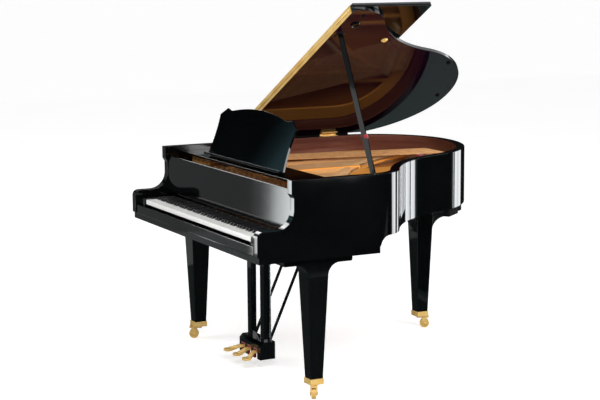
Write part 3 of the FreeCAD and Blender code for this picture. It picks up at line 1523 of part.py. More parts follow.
def make_lyre():
    """Top block, two pillars, hollow pedal box with its pivot rod, and the two braces."""
    line = along(S.lyre_line)
    depth = S.lyre_block_depth / 2
    block_bottom = KEYBED_BOTTOM - S.lyre_block_height
    block = board("lyre_block_board", (-S.lyre_block_half, S.lyre_block_half), (line - depth, line + depth),
                  (block_bottom, KEYBED_BOTTOM))
    holes = [rod("lyre_block_hole_%d" % index, S.pedal_rod_hole, rod_base(index, block_bottom - 1),
                 S.lyre_block_height + 2) for index in range(3)]
    pieces = [cut("lyre_block", block, group("lyre_block_holes", holes))]
    box_top = S.pedal_box_bottom + S.pedal_box_height
    for name, side in (("bass", -S.pillar_spacing / 2), ("treble", S.pillar_spacing / 2)):
        pillar = doc.addObject("PartDesign::Body", "lyre_pillar_" + name)
        loft = pillar.newObject("PartDesign::AdditiveLoft", "lyre_pillar_loft_" + name)
        outlines = []
        for label, width, level in (("foot", S.pillar_bottom_width, box_top),
                                    ("head", S.pillar_top_width, block_bottom)):
            half = width / 2
            deep = S.pillar_depth / 2
            edges = rounded_polygon([(-half, -deep), (half, -deep), (half, deep), (-half, deep)])
            outlines.append(sketch_in(pillar, "lyre_pillar_%s_%s" % (label, name), "XY_Plane", edges, level))
        loft.Profile = outlines[0]
        loft.Sections = [outlines[1]]
        bind(pillar, "Placement.Base.x", side)
        bind(pillar, "Placement.Base.y", line)
        pieces.append(pillar)
    pieces.append(make_pedal_box(box_top))
    wall = S.pedal_box_half - S.pedal_box_wall
    pieces.append(rod("pedal_pivot_rod", S.pedal_rod_radius,
                      point(-wall, along(PEDAL_AXIS_Y), S.pedal_pivot_height),
                      2 * wall, Vec(1, 0, 0)))
    node(group("pedal_lyre_pieces", pieces), "pedal_lyre")
    braces = []
    foot = along(S.brace_foot)
    top = along(S.brace_back)
    width = S.brace_width
    for name, side in (("bass", -S.brace_spacing / 2), ("treble", S.brace_spacing / 2)):
        braces.append(padded_body("lyre_brace_" + name, "YZ_Plane", rounded_polygon([
            (foot - width, box_top),
            (foot, box_top),
            (top, KEYBED_BOTTOM),
            (top - width, KEYBED_BOTTOM),
        ]), side - width / 2, side + width / 2))
    node(group("lyre_brace_pair", braces), "lyre_braces")


def make_pedal_box(box_top):
    """Box round the pedals, open below, slotted in front and bored above for the rods."""
    front = along(S.pedal_box_front)
    back = front + S.pedal_box_depth
    half = S.pedal_box_half
    wall = S.pedal_box_wall
    low = S.pedal_box_bottom
    box = padded_body("pedal_box_shell", "YZ_Plane", rounded_polygon([
        (front, low),
        (back, low),
        (back, box_top),
        (front + S.pedal_box_chamfer, box_top),
        (front, box_top - S.pedal_box_chamfer),
    ]), -half, half)
    openings = [board("pedal_box_room", (wall - half, half - wall), (front + wall, back - wall),
                      (low - 1, box_top - 2 * wall))]
    for index in range(3):
        middle = pedal_x(index)
        slot = S.pedal_width / 2 + S.pedal_slot_gap
        openings.append(board("pedal_slot_%d" % index, (middle - slot, middle + slot),
                              (front - 1, front + 2 * wall),
                              (low - 1, S.pedal_pivot_height + S.pedal_thickness)))
        openings.append(rod("pedal_rod_hole_%d" % index, S.pedal_rod_hole,
                            rod_base(index, box_top - 3 * wall),
                            4 * wall))
    return cut("pedal_box", box, group("pedal_box_openings", openings))


def make_pedals():
    """Brass pedals on the pivot rod, and the rods that stand on their tails."""
    axis_y = float(along(PEDAL_AXIS_Y))
    axis_z = float(S.pedal_pivot_height)
    thick = float(S.pedal_thickness) / 2
    reach = float(S.pedal_reach)
    tail = float(S.pedal_tail)
    drop = float(S.pedal_drop)
    eye = float(S.pedal_rod_radius) + 3.5
    tip_half = float(S.pedal_tip_width) / 2
    for index, name in enumerate(("left", "middle", "right")):
        middle = float(pedal_x(index))
        tip = middle + float(S.pedal_splay) * (index - 1)
        rod_x = rod_base(index, 0).x
        half = float(S.pedal_width) / 2
        rod_half = float(S.pedal_rod_radius) + 2
        low = min(middle, tip, rod_x) - tip_half
        high = max(middle, tip, rod_x) + tip_half
        lever = side_prism([
            (axis_y + tail, axis_z - thick),
            (axis_y + tail, axis_z + thick),
            (axis_y - PEDAL_DROP_START * reach, axis_z + thick, 40),
            (axis_y - PEDAL_DROP_END * reach, axis_z + thick - drop, 40),
            (axis_y - reach, axis_z + thick - drop, 4),
            (axis_y - reach, axis_z - thick - drop, 4),
            (axis_y - PEDAL_DROP_END * reach, axis_z - thick - drop, 40),
            (axis_y - PEDAL_DROP_START * reach, axis_z - thick, 40),
        ], low, high)
        boss = Part.makeCylinder(eye, 2 * half, Vec(middle - half, axis_y, axis_z), Vec(1, 0, 0))
        plan = prism(rounded_polygon([
            (middle - half, axis_y + tail),
            (middle + half, axis_y + tail),
            (middle + half, axis_y - PEDAL_FLARE_START * reach, 40),
            (tip + tip_half, axis_y - PEDAL_FLARE_END * reach, 25),
            (tip + tip_half, axis_y - reach, tip_half * 0.9),
            (tip - tip_half, axis_y - reach, tip_half * 0.9),
            (tip - tip_half, axis_y - PEDAL_FLARE_END * reach, 25),
            (middle - half, axis_y - PEDAL_FLARE_START * reach, 40),
        ]), axis_z - 60, axis_z + 60)
        heel = plain_box((min(middle - half, rod_x - rod_half), max(middle + half, rod_x + rod_half)),
                         (axis_y + eye, axis_y + tail), (axis_z - thick, axis_z + thick))
        bore = Part.makeCylinder(float(S.pedal_rod_radius + S.pin_clearance), 4 * tip_half,
                                 Vec(middle - 2 * tip_half, axis_y, axis_z), Vec(1, 0, 0))
        pedal = lever.fuse(boss).common(plan).fuse(heel).cut(bore).removeSplitter()
        node(feature("pedal_" + name, pedal), "pedal_" + name)
        base = axis_z + thick + float(S.running_gap)
        top = S.rim_bottom - S.pedal_rod_top
        node(rod("pedal_rod_" + name, S.pedal_rod_radius, rod_base(index, base), top - base),
             "pedal_rod_" + name)


def check_document():
    """Stop if any object failed or any sub-part is not sound."""
    doc.recompute()
    failed = [thing.Name for thing in doc.Objects if "Invalid" in thing.State or "Error" in thing.State]
    unsound = [thing.Label for thing in NODES if thing.Shape.isNull() or not thing.Shape.isValid()]
    empty = [thing.Label for thing in NODES if not thing.Shape.Solids]
    if failed or unsound or empty:
        raise ValueError("failed %s, unsound %s, empty %s" % (failed, unsound, empty))


def print_axes():
    """Show the places and directions of the moving pieces' axes."""
    pivot, upright, axis, length, fold = prop_frame()
    strut, angle = desk_strut_angles()
    flap = lid_placement().multVec(point(0, along(FLAP_AXIS_Y), FLAP_AXIS_Z))
    print("lid hinge", float(LID_AXIS_X), float(LID_AXIS_Z))
    print("flap hinge", tuple(flap), tuple(lid_placement().Rotation.multVec(Vec(1, 0, 0))))
    print("prop pivot", tuple(pivot), "axis", tuple(axis), "length", length, "fold", fold)
    short = prop_placement().multVec(Vec(-float(S.prop_width) / 4, 0, float(S.short_prop_start)))
    print("short prop", tuple(short), tuple(prop_placement().Rotation.multVec(Vec(0, -1, 0))))
    print("desk", float(along(S.desk_line)), float(DESK_AXIS), "strut", tuple(strut), angle)
    print("fallboard", float(along(S.fallboard_line)), float(FALLBOARD_AXIS))
    print("keys", float(along(S.balance_line)), float(BALANCE_AXIS))
    print("hammers", float(along(S.hammer_line)), float(HAMMER_AXIS))
    print("pedals", float(along(PEDAL_AXIS_Y)), float(S.pedal_pivot_height))
    for name, side, line, top, turn, heading in leg_places():
        swivel = FreeCAD.Rotation(Vec(0, 0, 1), heading)
        stem = point(side, along(line), 0)
        wheel = stem + swivel.multVec(point(S.caster_trail, 0, S.wheel_radius))
        print("caster", name, tuple(stem), tuple(wheel), tuple(swivel.multVec(Vec(0, 1, 0))))


def main():
    """Build every sub-part, check it and write it."""
    make_outer_rim()
    make_case_woodwork()
    make_soundboard()
    make_bridges()
    make_plate()
    make_strings()
    make_keys()
    make_action()
    make_fallboard()
    make_music_desk()
    make_lid()
    make_prop()
    make_legs()
    make_lyre()
    make_pedals()
    check_document()
    os.makedirs("parts", exist_ok=True)
    for thing in NODES:
        thing.Shape.exportStep("parts/%s.step" % thing.Label)
    print_axes()
    print("nodes", len(NODES))


main()
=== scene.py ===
"""A grand piano in its finishes: lacquer, veneer, cast plate, keys, brass and felt, with light and camera."""

import math

import bmesh
import bpy
from mathutils import Matrix, Vector


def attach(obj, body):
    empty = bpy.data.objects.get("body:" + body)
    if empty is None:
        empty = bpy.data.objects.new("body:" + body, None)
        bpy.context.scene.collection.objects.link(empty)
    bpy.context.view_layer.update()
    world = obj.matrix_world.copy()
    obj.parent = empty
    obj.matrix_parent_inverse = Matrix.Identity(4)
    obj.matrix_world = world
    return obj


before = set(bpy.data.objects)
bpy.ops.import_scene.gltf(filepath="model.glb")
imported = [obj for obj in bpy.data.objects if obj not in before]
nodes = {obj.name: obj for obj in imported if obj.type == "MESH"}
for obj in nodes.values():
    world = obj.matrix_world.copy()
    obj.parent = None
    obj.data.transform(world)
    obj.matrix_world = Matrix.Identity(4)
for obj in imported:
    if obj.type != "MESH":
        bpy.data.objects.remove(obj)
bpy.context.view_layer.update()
scene = bpy.context.scene
scene.view_settings.view_transform = "Standard"

WHITE_PITCHES = ("c", "d", "e", "f", "g", "a", "b")
BLACK_PITCHES = ("c_sharp", "d_sharp", "f_sharp", "g_sharp", "a_sharp")


# Node materials

# Places of the colour sockets on a mix node
MIX_FIRST = 6
MIX_SECOND = 7
MIX_RESULT = 2


def set_stops(ramp, stops):
    """Give a colour ramp its (place, colour) stops."""
    marks = ramp.color_ramp.elements
    while len(marks) < len(stops):
        marks.new(0.5)
    for mark, (place, colour) in zip(marks, stops):
        mark.position = place
        mark.color = (*colour, 1)


class Finish:
    """A node material in the making."""

    def __init__(self, name, **sockets):
        self.material = bpy.data.materials.new(name)
        self.material.use_nodes = True
        self.tree = self.material.node_tree
        self.surface = self.tree.nodes["Principled BSDF"]
        self.place = self.tree.nodes.new("ShaderNodeTexCoord")
        for socket, value in sockets.items():
            self.surface.inputs[socket.replace("_", " ")].default_value = value

    def link(self, source, target):
        self.tree.links.new(source, target)

    def into(self, source, socket):
        """Send a value to one of the surface's sockets."""
        self.link(source, self.surface.inputs[socket])

    def spread(self, stretch, turn=0.0):
        """Object coordinates, stretched along the axes and turned about Z."""
        mapping = self.tree.nodes.new("ShaderNodeMapping")
        mapping.inputs["Scale"].default_value = stretch
        mapping.inputs["Rotation"].default_value = (0, 0, math.radians(turn))
        self.link(self.place.outputs["Object"], mapping.inputs["Vector"])
        return mapping.outputs["Vector"]

    def noise(self, scale, detail=3.0, stretch=(1, 1, 1), turn=0.0, rough=0.5, warp=0.0):
        """Clouds over the object, drawn out into grain where they are stretched."""
        texture = self.tree.nodes.new("ShaderNodeTexNoise")
        texture.inputs["Scale"].default_value = scale
        texture.inputs["Detail"].default_value = detail
        texture.inputs["Roughness"].default_value = rough
        texture.inputs["Distortion"].default_value = warp
        self.link(self.spread(stretch, turn), texture.inputs["Vector"])
        return texture.outputs["Fac"]

    def ramp(self, source, *stops):
        """A colour ramp through (place, colour) stops."""
        ramp = self.tree.nodes.new("ShaderNodeValToRGB")
        set_stops(ramp, stops)
        self.link(source, ramp.inputs["Fac"])
        return ramp.outputs["Color"]

    def range(self, source, low, high, from_low=0.0, from_high=1.0):
        """A value moved from one range to another and kept inside it."""
        mapped = self.tree.nodes.new("ShaderNodeMapRange")
        mapped.inputs["From Min"].default_value = from_low
        mapped.inputs["From Max"].default_value = from_high
        mapped.inputs["To Min"].default_value = low
        mapped.inputs["To Max"].default_value = high
        self.link(source, mapped.inputs["Value"])
        return mapped.outputs["Result"]

    def maths(self, operation, first, second):
        """One step of arithmetic on numbers or on values from other nodes."""
        step = self.tree.nodes.new("ShaderNodeMath")
        step.operation = operation
        for index, value in enumerate((first, second)):
            if isinstance(value, (int, float)):
                step.inputs[index].default_value = value
            else:
                self.link(value, step.inputs[index])
        return step.outputs["Value"]

    def axis(self, name, output="Object"):
        """One coordinate of the place or of the normal, in the object's own frame."""
        split = self.tree.nodes.new("ShaderNodeSeparateXYZ")
        self.link(self.place.outputs[output], split.inputs["Vector"])
        return split.outputs[name]

    def over(self, value, limit):
        """One where the value is over the limit, otherwise nought."""
        return self.maths("GREATER_THAN", value, limit)

    def under(self, value, limit):
        """One where the value is under the limit, otherwise nought."""
        return self.maths("LESS_THAN", value, limit)

    def both(self, first, second):
        """The product of two values, so that two masks hold together."""
        return self.maths("MULTIPLY", first, second)

    def choose(self, mask, first, second):
        """The first colour where the mask is 0, the second where it is 1."""
        mix = self.tree.nodes.new("ShaderNodeMix")
        mix.data_type = "RGBA"
        self.link(mask, mix.inputs["Factor"])
        for socket, value in ((mix.inputs[MIX_FIRST], first), (mix.inputs[MIX_SECOND], second)):
            if isinstance(value, tuple):
                socket.default_value = (*value, 1)
            else:
                self.link(value, socket)
        return mix.outputs[MIX_RESULT]

    def bump(self, height, strength, distance=0.001):
        """Fine relief from a height."""
        relief = self.tree.nodes.new("ShaderNodeBump")
        relief.inputs["Strength"].default_value = strength
        relief.inputs["Distance"].default_value = distance
        self.link(height, relief.inputs["Height"])
        self.into(relief.outputs["Normal"], "Normal")


BLACK_DEEP = (0.0007, 0.0009, 0.0010)
BLACK_LIFT = (0.0019, 0.0023, 0.0025)
LACQUER_SHINE = 0.42


def lacquer_colour(finish):
    """Black with a very slight drift of tone."""
    return finish.ramp(finish.noise(2.2, 4), (0.3, BLACK_DEEP), (0.75, BLACK_LIFT))


def lacquer_gloss(finish):
    """Polish that differs a little from place to place, with faint hairlines."""
    cloud = finish.noise(5.0, 5)
    hair = finish.noise(9.0, 2, stretch=(1, 22, 22))
    return finish.range(finish.maths("ADD", cloud, hair), 0.02, 0.085, 0.7, 1.4)


def lacquer_relief(finish):
    """The slight waves of a sprayed and buffed coat."""
    finish.bump(finish.noise(38.0, 1), 0.012)


def black_polish():
    """Black lacquer of the case."""
    finish = Finish("black_polish_coat", Specular_IOR_Level=LACQUER_SHINE)
    finish.into(lacquer_colour(finish), "Base Color")
    finish.into(lacquer_gloss(finish), "Roughness")
    lacquer_relief(finish)
    return finish.material


# Grain that runs level round the case
VENEER_RUN = (0.9, 0.9, 16)


def veneer_colour(finish):
    """Red-brown veneer with ribbon stripes and short pores."""
    ribbon = finish.noise(2.4, 5, VENEER_RUN, rough=0.55, warp=0.5)
    pores = finish.noise(26.0, 3, VENEER_RUN, rough=0.7)
    base = finish.ramp(ribbon, (0.28, (0.078, 0.021, 0.014)), (0.5, (0.122, 0.040, 0.026)),
                       (0.74, (0.20, 0.076, 0.05)))
    return finish.choose(finish.range(pores, 0.0, 0.5, 0.56, 0.72), base, (0.05, 0.012, 0.008))


# Limits of the veneer on the rim: the case's middle in X, the back of the arms in Y, and how far a face has
# to turn inwards and stand upright
CASE_MIDDLE = -0.25
ARMS_BACK = -0.365
TURNED_IN = -0.02
UPRIGHT = 0.4


def rim_finish():
    """Black outside and on the top edge, mahogany veneer inside behind the arms."""
    finish = Finish("rim_coat", Specular_IOR_Level=LACQUER_SHINE)
    across = finish.both(finish.maths("ADD", finish.axis("X"), -CASE_MIDDLE), finish.axis("X", "Normal"))
    depth = finish.both(finish.axis("Y"), finish.axis("Y", "Normal"))
    facing = finish.under(finish.maths("ADD", across, depth), TURNED_IN)
    behind = finish.over(finish.axis("Y"), ARMS_BACK)
    upright = finish.under(finish.maths("ABSOLUTE", finish.axis("Z", "Normal"), 0.0), UPRIGHT)
    inside = finish.both(finish.both(facing, behind), upright)
    finish.into(finish.choose(inside, lacquer_colour(finish), veneer_colour(finish)), "Base Color")
    finish.into(finish.maths("ADD", lacquer_gloss(finish), finish.range(inside, 0.0, 0.13)), "Roughness")
    lacquer_relief(finish)
    return finish.material


def mahogany():
    """Veneer of the inner rim."""
    finish = Finish("mahogany_wood", Specular_IOR_Level=0.4)
    finish.into(veneer_colour(finish), "Base Color")
    finish.into(finish.range(finish.noise(12.0), 0.2, 0.38), "Roughness")
    finish.bump(finish.noise(26.0, 3, VENEER_RUN), 0.06)
    return finish.material


def spruce():
    """Straight close grain across the board, under a satin varnish."""
    finish = Finish("spruce_board", Specular_IOR_Level=0.45)
    grain = finish.noise(3.0, 3, (70, 0.7, 8), turn=42.0, rough=0.6)
    drift = finish.noise(3.5, 3)
    board = finish.ramp(grain, (0.3, (0.34, 0.118, 0.032)), (0.6, (0.52, 0.205, 0.058)),
                        (0.78, (0.59, 0.265, 0.085)))
    finish.into(finish.choose(finish.range(drift, 0.0, 0.3), board, (0.39, 0.125, 0.031)), "Base Color")
    finish.into(finish.range(grain, 0.24, 0.4), "Roughness")
    finish.bump(grain, 0.05)
    return finish.material


def maple_grain(finish):
    """Grain that runs across the piano, and its colour."""
    grain = finish.noise(3.0, 4, (1.2, 24, 24), rough=0.6)
    return grain, finish.ramp(grain, (0.3, (0.42, 0.25, 0.11)), (0.7, (0.62, 0.42, 0.22)))


def maple():
    """Bare maple of the bridges and the pin block."""
    finish = Finish("maple_wood", Specular_IOR_Level=0.4)
    grain, colour = maple_grain(finish)
    finish.into(colour, "Base Color")
    finish.into(finish.range(grain, 0.35, 0.5), "Roughness")
    finish.bump(grain, 0.06)
    return finish.material


FRONT_RAIL_BACK = -0.62


def key_frame():
    """Maple rails, with painted shade on the front rail: near-black where it shows in the gap under the key
    fronts.
    """
    finish = Finish("key_frame_wood", Specular_IOR_Level=0.3)
    grain, wood = maple_grain(finish)
    # Painted shade: near-black on the front rail ahead of FRONT_RAIL_BACK, standing in for the shade in the
    # gap between the key slip and the key fronts.
    painted_gap_shade = finish.ramp(grain, (0.3, (0.003, 0.003, 0.003)), (0.7, (0.008, 0.008, 0.008)))
    finish.into(finish.choose(finish.under(finish.axis("Y"), FRONT_RAIL_BACK), wood, painted_gap_shade), "Base Color")
    finish.into(finish.range(grain, 0.4, 0.55), "Roughness")
    return finish.material


# Faces whose normal's Z is under this look down
FACING_DOWN = -0.5


def lid_finish():
    """Lacquer of the lid, a little less bright in its reflections than the case, with a painted reflection
    underneath: a dark burgundy base colour on the faces that look down.
    """
    finish = Finish("lid_coat", Specular_IOR_Level=0.36)
    # Painted reflection: the dark burgundy base colour under the lid stands in for the tone of the case's
    # interior mirrored in the black lacquer.
    painted_burgundy_reflection = finish.ramp(finish.noise(2.2, 4), (0.3, (0.006, 0.0008, 0.005)), (0.75, (0.010, 0.0016, 0.008)))
    underside = finish.under(finish.axis("Z", "Normal"), FACING_DOWN)
    finish.into(finish.choose(underside, lacquer_colour(finish), painted_burgundy_reflection), "Base Color")
    finish.into(lacquer_gloss(finish), "Roughness")
    lacquer_relief(finish)
    return finish.material


def gold_plate():
    """Cast iron under bronze lacquer: fine casting grain and warm clouds."""
    finish = Finish("bronze_plate", Metallic=0.08, Specular_IOR_Level=0.5)
    cloud = finish.noise(4.0, 4)
    grain = finish.noise(420.0, 2)
    warm = finish.ramp(cloud, (0.3, (0.88, 0.335, 0.05)), (0.7, (0.95, 0.41, 0.08)))
    flecks = finish.range(grain, 0.0, 0.35, 0.5, 0.8)
    finish.into(finish.choose(flecks, warm, (0.97, 0.52, 0.15)), "Base Color")
    finish.into(finish.range(grain, 0.3, 0.44), "Roughness")
    finish.bump(finish.noise(260.0, 3), 0.1, 0.0006)
    return finish.material


def wire(name, dark, light, rough, metal=1.0):
    """Drawn metal between two tones."""
    finish = Finish(name, Metallic=metal)
    finish.into(finish.ramp(finish.noise(30.0, 3), (0.3, dark), (0.7, light)), "Base Color")
    finish.into(finish.range(finish.noise(200.0, 2), rough, rough + 0.14), "Roughness")
    return finish


def copper_wire():
    """Wound strings: the turns of the winding show as fine ribs along the string."""
    finish = wire("copper_winding", (0.66, 0.30, 0.11), (0.84, 0.46, 0.20), 0.3, 0.45)
    turns = finish.tree.nodes.new("ShaderNodeTexWave")
    turns.bands_direction = "Y"
    turns.inputs["Scale"].default_value = 180.0
    finish.link(finish.place.outputs["Object"], turns.inputs["Vector"])
    finish.bump(turns.outputs["Fac"], 0.4, 0.0003)
    return finish.material


BRASS_METAL = 0.42


def brass_tone(finish):
    """Clouds on polished metal, and the brass colour that they give."""
    cloud = finish.noise(14.0, 4)
    tone = finish.ramp(cloud, (0.25, (0.74, 0.43, 0.11)), (0.55, (0.90, 0.60, 0.20)),
                       (0.8, (0.95, 0.70, 0.31)))
    finish.into(finish.range(finish.noise(90.0, 4), 0.13, 0.3), "Roughness")
    return cloud, tone


def brass():
    """Polished brass with soft wear."""
    finish = Finish("polished_brass", Metallic=BRASS_METAL)
    finish.into(brass_tone(finish)[1], "Base Color")
    finish.bump(finish.noise(160.0, 2), 0.025, 0.0004)
    return finish.material


def fittings_finish():
    """Brass leaves at the lid's hinges, and a dark bronze cup for the prop."""
    finish = Finish("lid_fittings_metal", Metallic=BRASS_METAL)
    cloud, tone = brass_tone(finish)
    dark = finish.ramp(cloud, (0.3, (0.006, 0.005, 0.005)), (0.7, (0.016, 0.014, 0.013)))
    prop_side = finish.over(finish.axis("X"), 0.0)
    finish.into(finish.choose(prop_side, tone, dark), "Base Color")
    return finish.material


# Limits of the keys' covers and of the near-black band behind the white covers: places in Y, and heights over
# the floor
WHITE_COVER_BACK = -0.605
WHITE_COVER_FOOT = 0.7186
DARK_LAYER_BACK = -0.53
BLACK_COVER_BACK = -0.545
BLACK_COVER_FOOT = 0.7385


def key_wood(finish):
    """Wood of the key sticks, with its grain along them."""
    grain = finish.noise(3.0, 4, (30, 0.8, 30), rough=0.6)
    return finish.ramp(grain, (0.3, (0.45, 0.27, 0.11)), (0.7, (0.66, 0.45, 0.22)))


def white_key():
    """Warm white tops and fronts on wooden sticks, near-black just behind the covers."""
    finish = Finish("white_key_top", Specular_IOR_Level=0.5)
    fibre = finish.noise(5.0, 4, (60, 2, 60), rough=0.6)
    cover = finish.ramp(fibre, (0.3, (0.80, 0.795, 0.765)), (0.7, (0.86, 0.86, 0.84)))
    ahead = finish.under(finish.axis("Y"), WHITE_COVER_BACK)
    shown = finish.both(ahead, finish.over(finish.axis("Z"), WHITE_COVER_FOOT))
    dark_layer = finish.ramp(fibre, (0.3, (0.004, 0.004, 0.004)), (0.7, (0.010, 0.009, 0.009)))
    rear = finish.choose(finish.under(finish.axis("Y"), DARK_LAYER_BACK), key_wood(finish), dark_layer)
    finish.into(finish.choose(shown, rear, cover), "Base Color")
    finish.into(finish.range(finish.noise(20.0, 3), 0.16, 0.3), "Roughness")
    return finish.material


def black_key():
    """Satin black tops on wooden sticks."""
    finish = Finish("black_key_top", Specular_IOR_Level=0.45)
    fibre = finish.noise(5.0, 4, (60, 3, 60), rough=0.6)
    cover = finish.ramp(fibre, (0.3, (0.0045, 0.0045, 0.005)), (0.7, (0.014, 0.014, 0.015)))
    ahead = finish.under(finish.axis("Y"), BLACK_COVER_BACK)
    shown = finish.both(ahead, finish.over(finish.axis("Z"), BLACK_COVER_FOOT))
    finish.into(finish.choose(shown, key_wood(finish), cover), "Base Color")
    finish.into(finish.range(fibre, 0.24, 0.4), "Roughness")
    finish.bump(fibre, 0.08)
    return finish.material


def felt(name, dark, light):
    """Pressed wool: soft sheen, matted fibres."""
    finish = Finish(name, Roughness=0.95, Specular_IOR_Level=0.1, Sheen_Weight=0.35, Sheen_Roughness=0.5)
    mat = finish.noise(700.0, 6, rough=0.75, warp=0.4)
    finish.into(finish.ramp(mat, (0.3, dark), (0.72, light)), "Base Color")
    finish.bump(mat, 0.5, 0.0008)
    return finish.material


# Limits of the wool on the hammers and of the pads under the dampers
HEAD_FRONT = -0.375
HEAD_FOOT = 0.8505
PAD_TOP = 0.9365
PAD_FOOT = 0.9


def wool_mat(finish):
    """Matted fibres of pale wool."""
    return finish.noise(600.0, 5, rough=0.75)


def hammer_finish():
    """Maple shanks and cores, with pale felt round the head."""
    finish = Finish("hammer_wood_and_felt", Specular_IOR_Level=0.25)
    mat = wool_mat(finish)
    wool = finish.ramp(mat, (0.3, (0.62, 0.58, 0.5)), (0.72, (0.8, 0.77, 0.7)))
    grain = finish.noise(3.0, 4, (26, 1.2, 26), rough=0.6)
    wood = finish.ramp(grain, (0.3, (0.45, 0.27, 0.12)), (0.7, (0.64, 0.44, 0.23)))
    head = finish.both(finish.over(finish.axis("Y"), HEAD_FRONT), finish.over(finish.axis("Z"), HEAD_FOOT))
    finish.into(finish.choose(head, wood, wool), "Base Color")
    finish.into(finish.range(head, 0.45, 0.95), "Roughness")
    finish.bump(mat, 0.15, 0.0006)
    return finish.material


def damper_finish():
    """Black heads on pale felt, with steel wires below them."""
    finish = Finish("damper_head", Specular_IOR_Level=0.4)
    wool = finish.ramp(wool_mat(finish), (0.3, (0.55, 0.52, 0.46)), (0.72, (0.76, 0.74, 0.68)))
    steel = finish.ramp(finish.noise(40.0), (0.3, (0.2, 0.2, 0.2)), (0.7, (0.36, 0.36, 0.36)))
    pad = finish.both(finish.under(finish.axis("Z"), PAD_TOP), finish.over(finish.axis("Z"), PAD_FOOT))
    stem = finish.under(finish.axis("Z"), PAD_FOOT)
    top = finish.choose(pad, lacquer_colour(finish), wool)
    finish.into(finish.choose(stem, top, steel), "Base Color")
    finish.into(finish.range(pad, 0.22, 0.95), "Roughness")
    finish.into(finish.both(stem, 0.8), "Metallic")
    return finish.material


def rubber():
    """Dull black rubber."""
    finish = Finish("button_rubber", Specular_IOR_Level=0.04)
    tone = finish.ramp(finish.noise(90.0), (0.3, (0.003, 0.003, 0.003)), (0.7, (0.007, 0.007, 0.007)))
    finish.into(tone, "Base Color")
    finish.into(finish.range(finish.noise(160.0), 0.78, 0.95), "Roughness")
    return finish.material


BLACK = black_polish()
BRASS = brass()
STEEL = wire("bright_steel", (0.42, 0.42, 0.43), (0.66, 0.66, 0.67), 0.2).material
# Painted reflection: the treble strings are steel, but their orange-bronze base colour stands in for the warm
# light of the bronze plate reflected in them.
STRINGS_PAINTED_WARM = wire("string_steel_painted_plate_reflection", (0.78, 0.45, 0.19), (0.90, 0.58, 0.30), 0.3, 0.45).material
RED_FELT = felt("red_felt", (0.16, 0.008, 0.012), (0.36, 0.028, 0.035))
RUBBER = rubber()
SPRUCE = spruce()
MAPLE = maple()
WHITE_KEY = white_key()
BLACK_KEY = black_key()

FINISHES = {
    "outer_rim": rim_finish(),
    "inner_rim": mahogany(),
    "back_frame": SPRUCE,
    "soundboard": SPRUCE,
    "bridges": MAPLE,
    "pin_block": MAPLE,
    "iron_plate": gold_plate(),
    "action_frame": key_frame(),
    "string_pins": STEEL,
    "treble_strings": STRINGS_PAINTED_WARM,
    "lid_main": lid_finish(),
    "lid_fittings": fittings_finish(),
    "bass_strings": copper_wire(),
    "hammers": hammer_finish(),
    "dampers": damper_finish(),
    "pedal_rod_left": STEEL,
    "pedal_rod_middle": STEEL,
    "pedal_rod_right": STEEL,
}
for pitch in WHITE_PITCHES:
    FINISHES["keys_" + pitch] = WHITE_KEY
for pitch in BLACK_PITCHES:
    FINISHES["keys_" + pitch] = BLACK_KEY
BRASS_WORDS = ("hinge", "ferrule", "caster")
PEDALS = ("pedal_left", "pedal_middle", "pedal_right")
for name in nodes:
    if name in FINISHES:
        continue
    shiny = name in PEDALS or any(word in name for word in BRASS_WORDS)
    FINISHES[name] = BRASS if shiny else BLACK


# Edges of the frame's own pieces, rounded by so many millimetres

KEY_ROUNDING = 0.6
JOIN_REACH = 0.00001
FLAT_ANGLE = math.radians(0.4)
EDGE_ANGLE = math.radians(28)
ROUNDING = {
    "outer_rim": 1.6,
    "keybed": 1.6,
    "key_slip": 1.5,
    "key_blocks": 1.5,
    "fallboard": 1.2,
    "desk_rails": 1.2,
    "desk_tray": 1.6,
    "music_desk": 1.8,
    "desk_strut": 0.8,
    "lid_main": 2.0,
    "lid_flap": 2.0,
    "prop_main": 1.4,
    "prop_short": 1.0,
    "prop_bracket": 1.2,
    "leg_front_left": 1.8,
    "leg_front_right": 1.8,
    "leg_rear": 1.8,
    "pedal_lyre": 1.6,
    "lyre_braces": 1.0,
    "inner_rim": 1.5,
    "iron_plate": 2.0,
    "pin_block": 1.0,
    "bridges": 1.2,
    "leg_ferrules": 0.8,
    "action_frame": 1.0,
}
for name, obj in nodes.items():
    obj.data.materials.clear()
    obj.data.materials.append(FINISHES[name])
    if name not in ROUNDING and not name.startswith("keys_"):
        continue
    weld = obj.modifiers.new("join_edges", "WELD")
    weld.merge_threshold = JOIN_REACH
    flat = obj.modifiers.new("join_flats", "DECIMATE")
    flat.decimate_type = "DISSOLVE"
    flat.angle_limit = FLAT_ANGLE
    rounding = obj.modifiers.new("round_edges", "BEVEL")
    rounding.width = ROUNDING.get(name, KEY_ROUNDING) / 1000
    rounding.segments = 2
    rounding.limit_method = "ANGLE"
    rounding.angle_limit = EDGE_ANGLE
    rounding.use_clamp_overlap = True
    even = obj.modifiers.new("even_normals", "WEIGHTED_NORMAL")
    even.weight = 80


# Small pieces

SMOOTH_ANGLE = 35.0
SOFT_ANGLE = 50.0
BEVEL_ANGLE = math.radians(30)


def piece(name, shape, finish, body, smooth_angle=SMOOTH_ANGLE):
    """Turn a finished mesh shape into a piece that moves with one body."""
    mesh = bpy.data.meshes.new(name)
    bmesh.ops.recalc_face_normals(shape, faces=shape.faces)
    shape.to_mesh(mesh)
    shape.free()
    mesh.shade_smooth()
    mesh.set_sharp_from_angle(angle=math.radians(smooth_angle))
    mesh.materials.append(finish)
    obj = bpy.data.objects.new(name, mesh)
    scene.collection.objects.link(obj)
    bpy.context.view_layer.update()
    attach(obj, body)


def skin(shape, rings):
    """Faces between closed rings of points, with a cap on the first and on the last."""
    count = len(rings[0])
    for lower, upper in zip(rings, rings[1:]):
        for step in range(count):
            after = (step + 1) % count
            shape.faces.new((lower[step], lower[after], upper[after], upper[step]))
    shape.faces.new(rings[0])
    shape.faces.new(rings[-1])


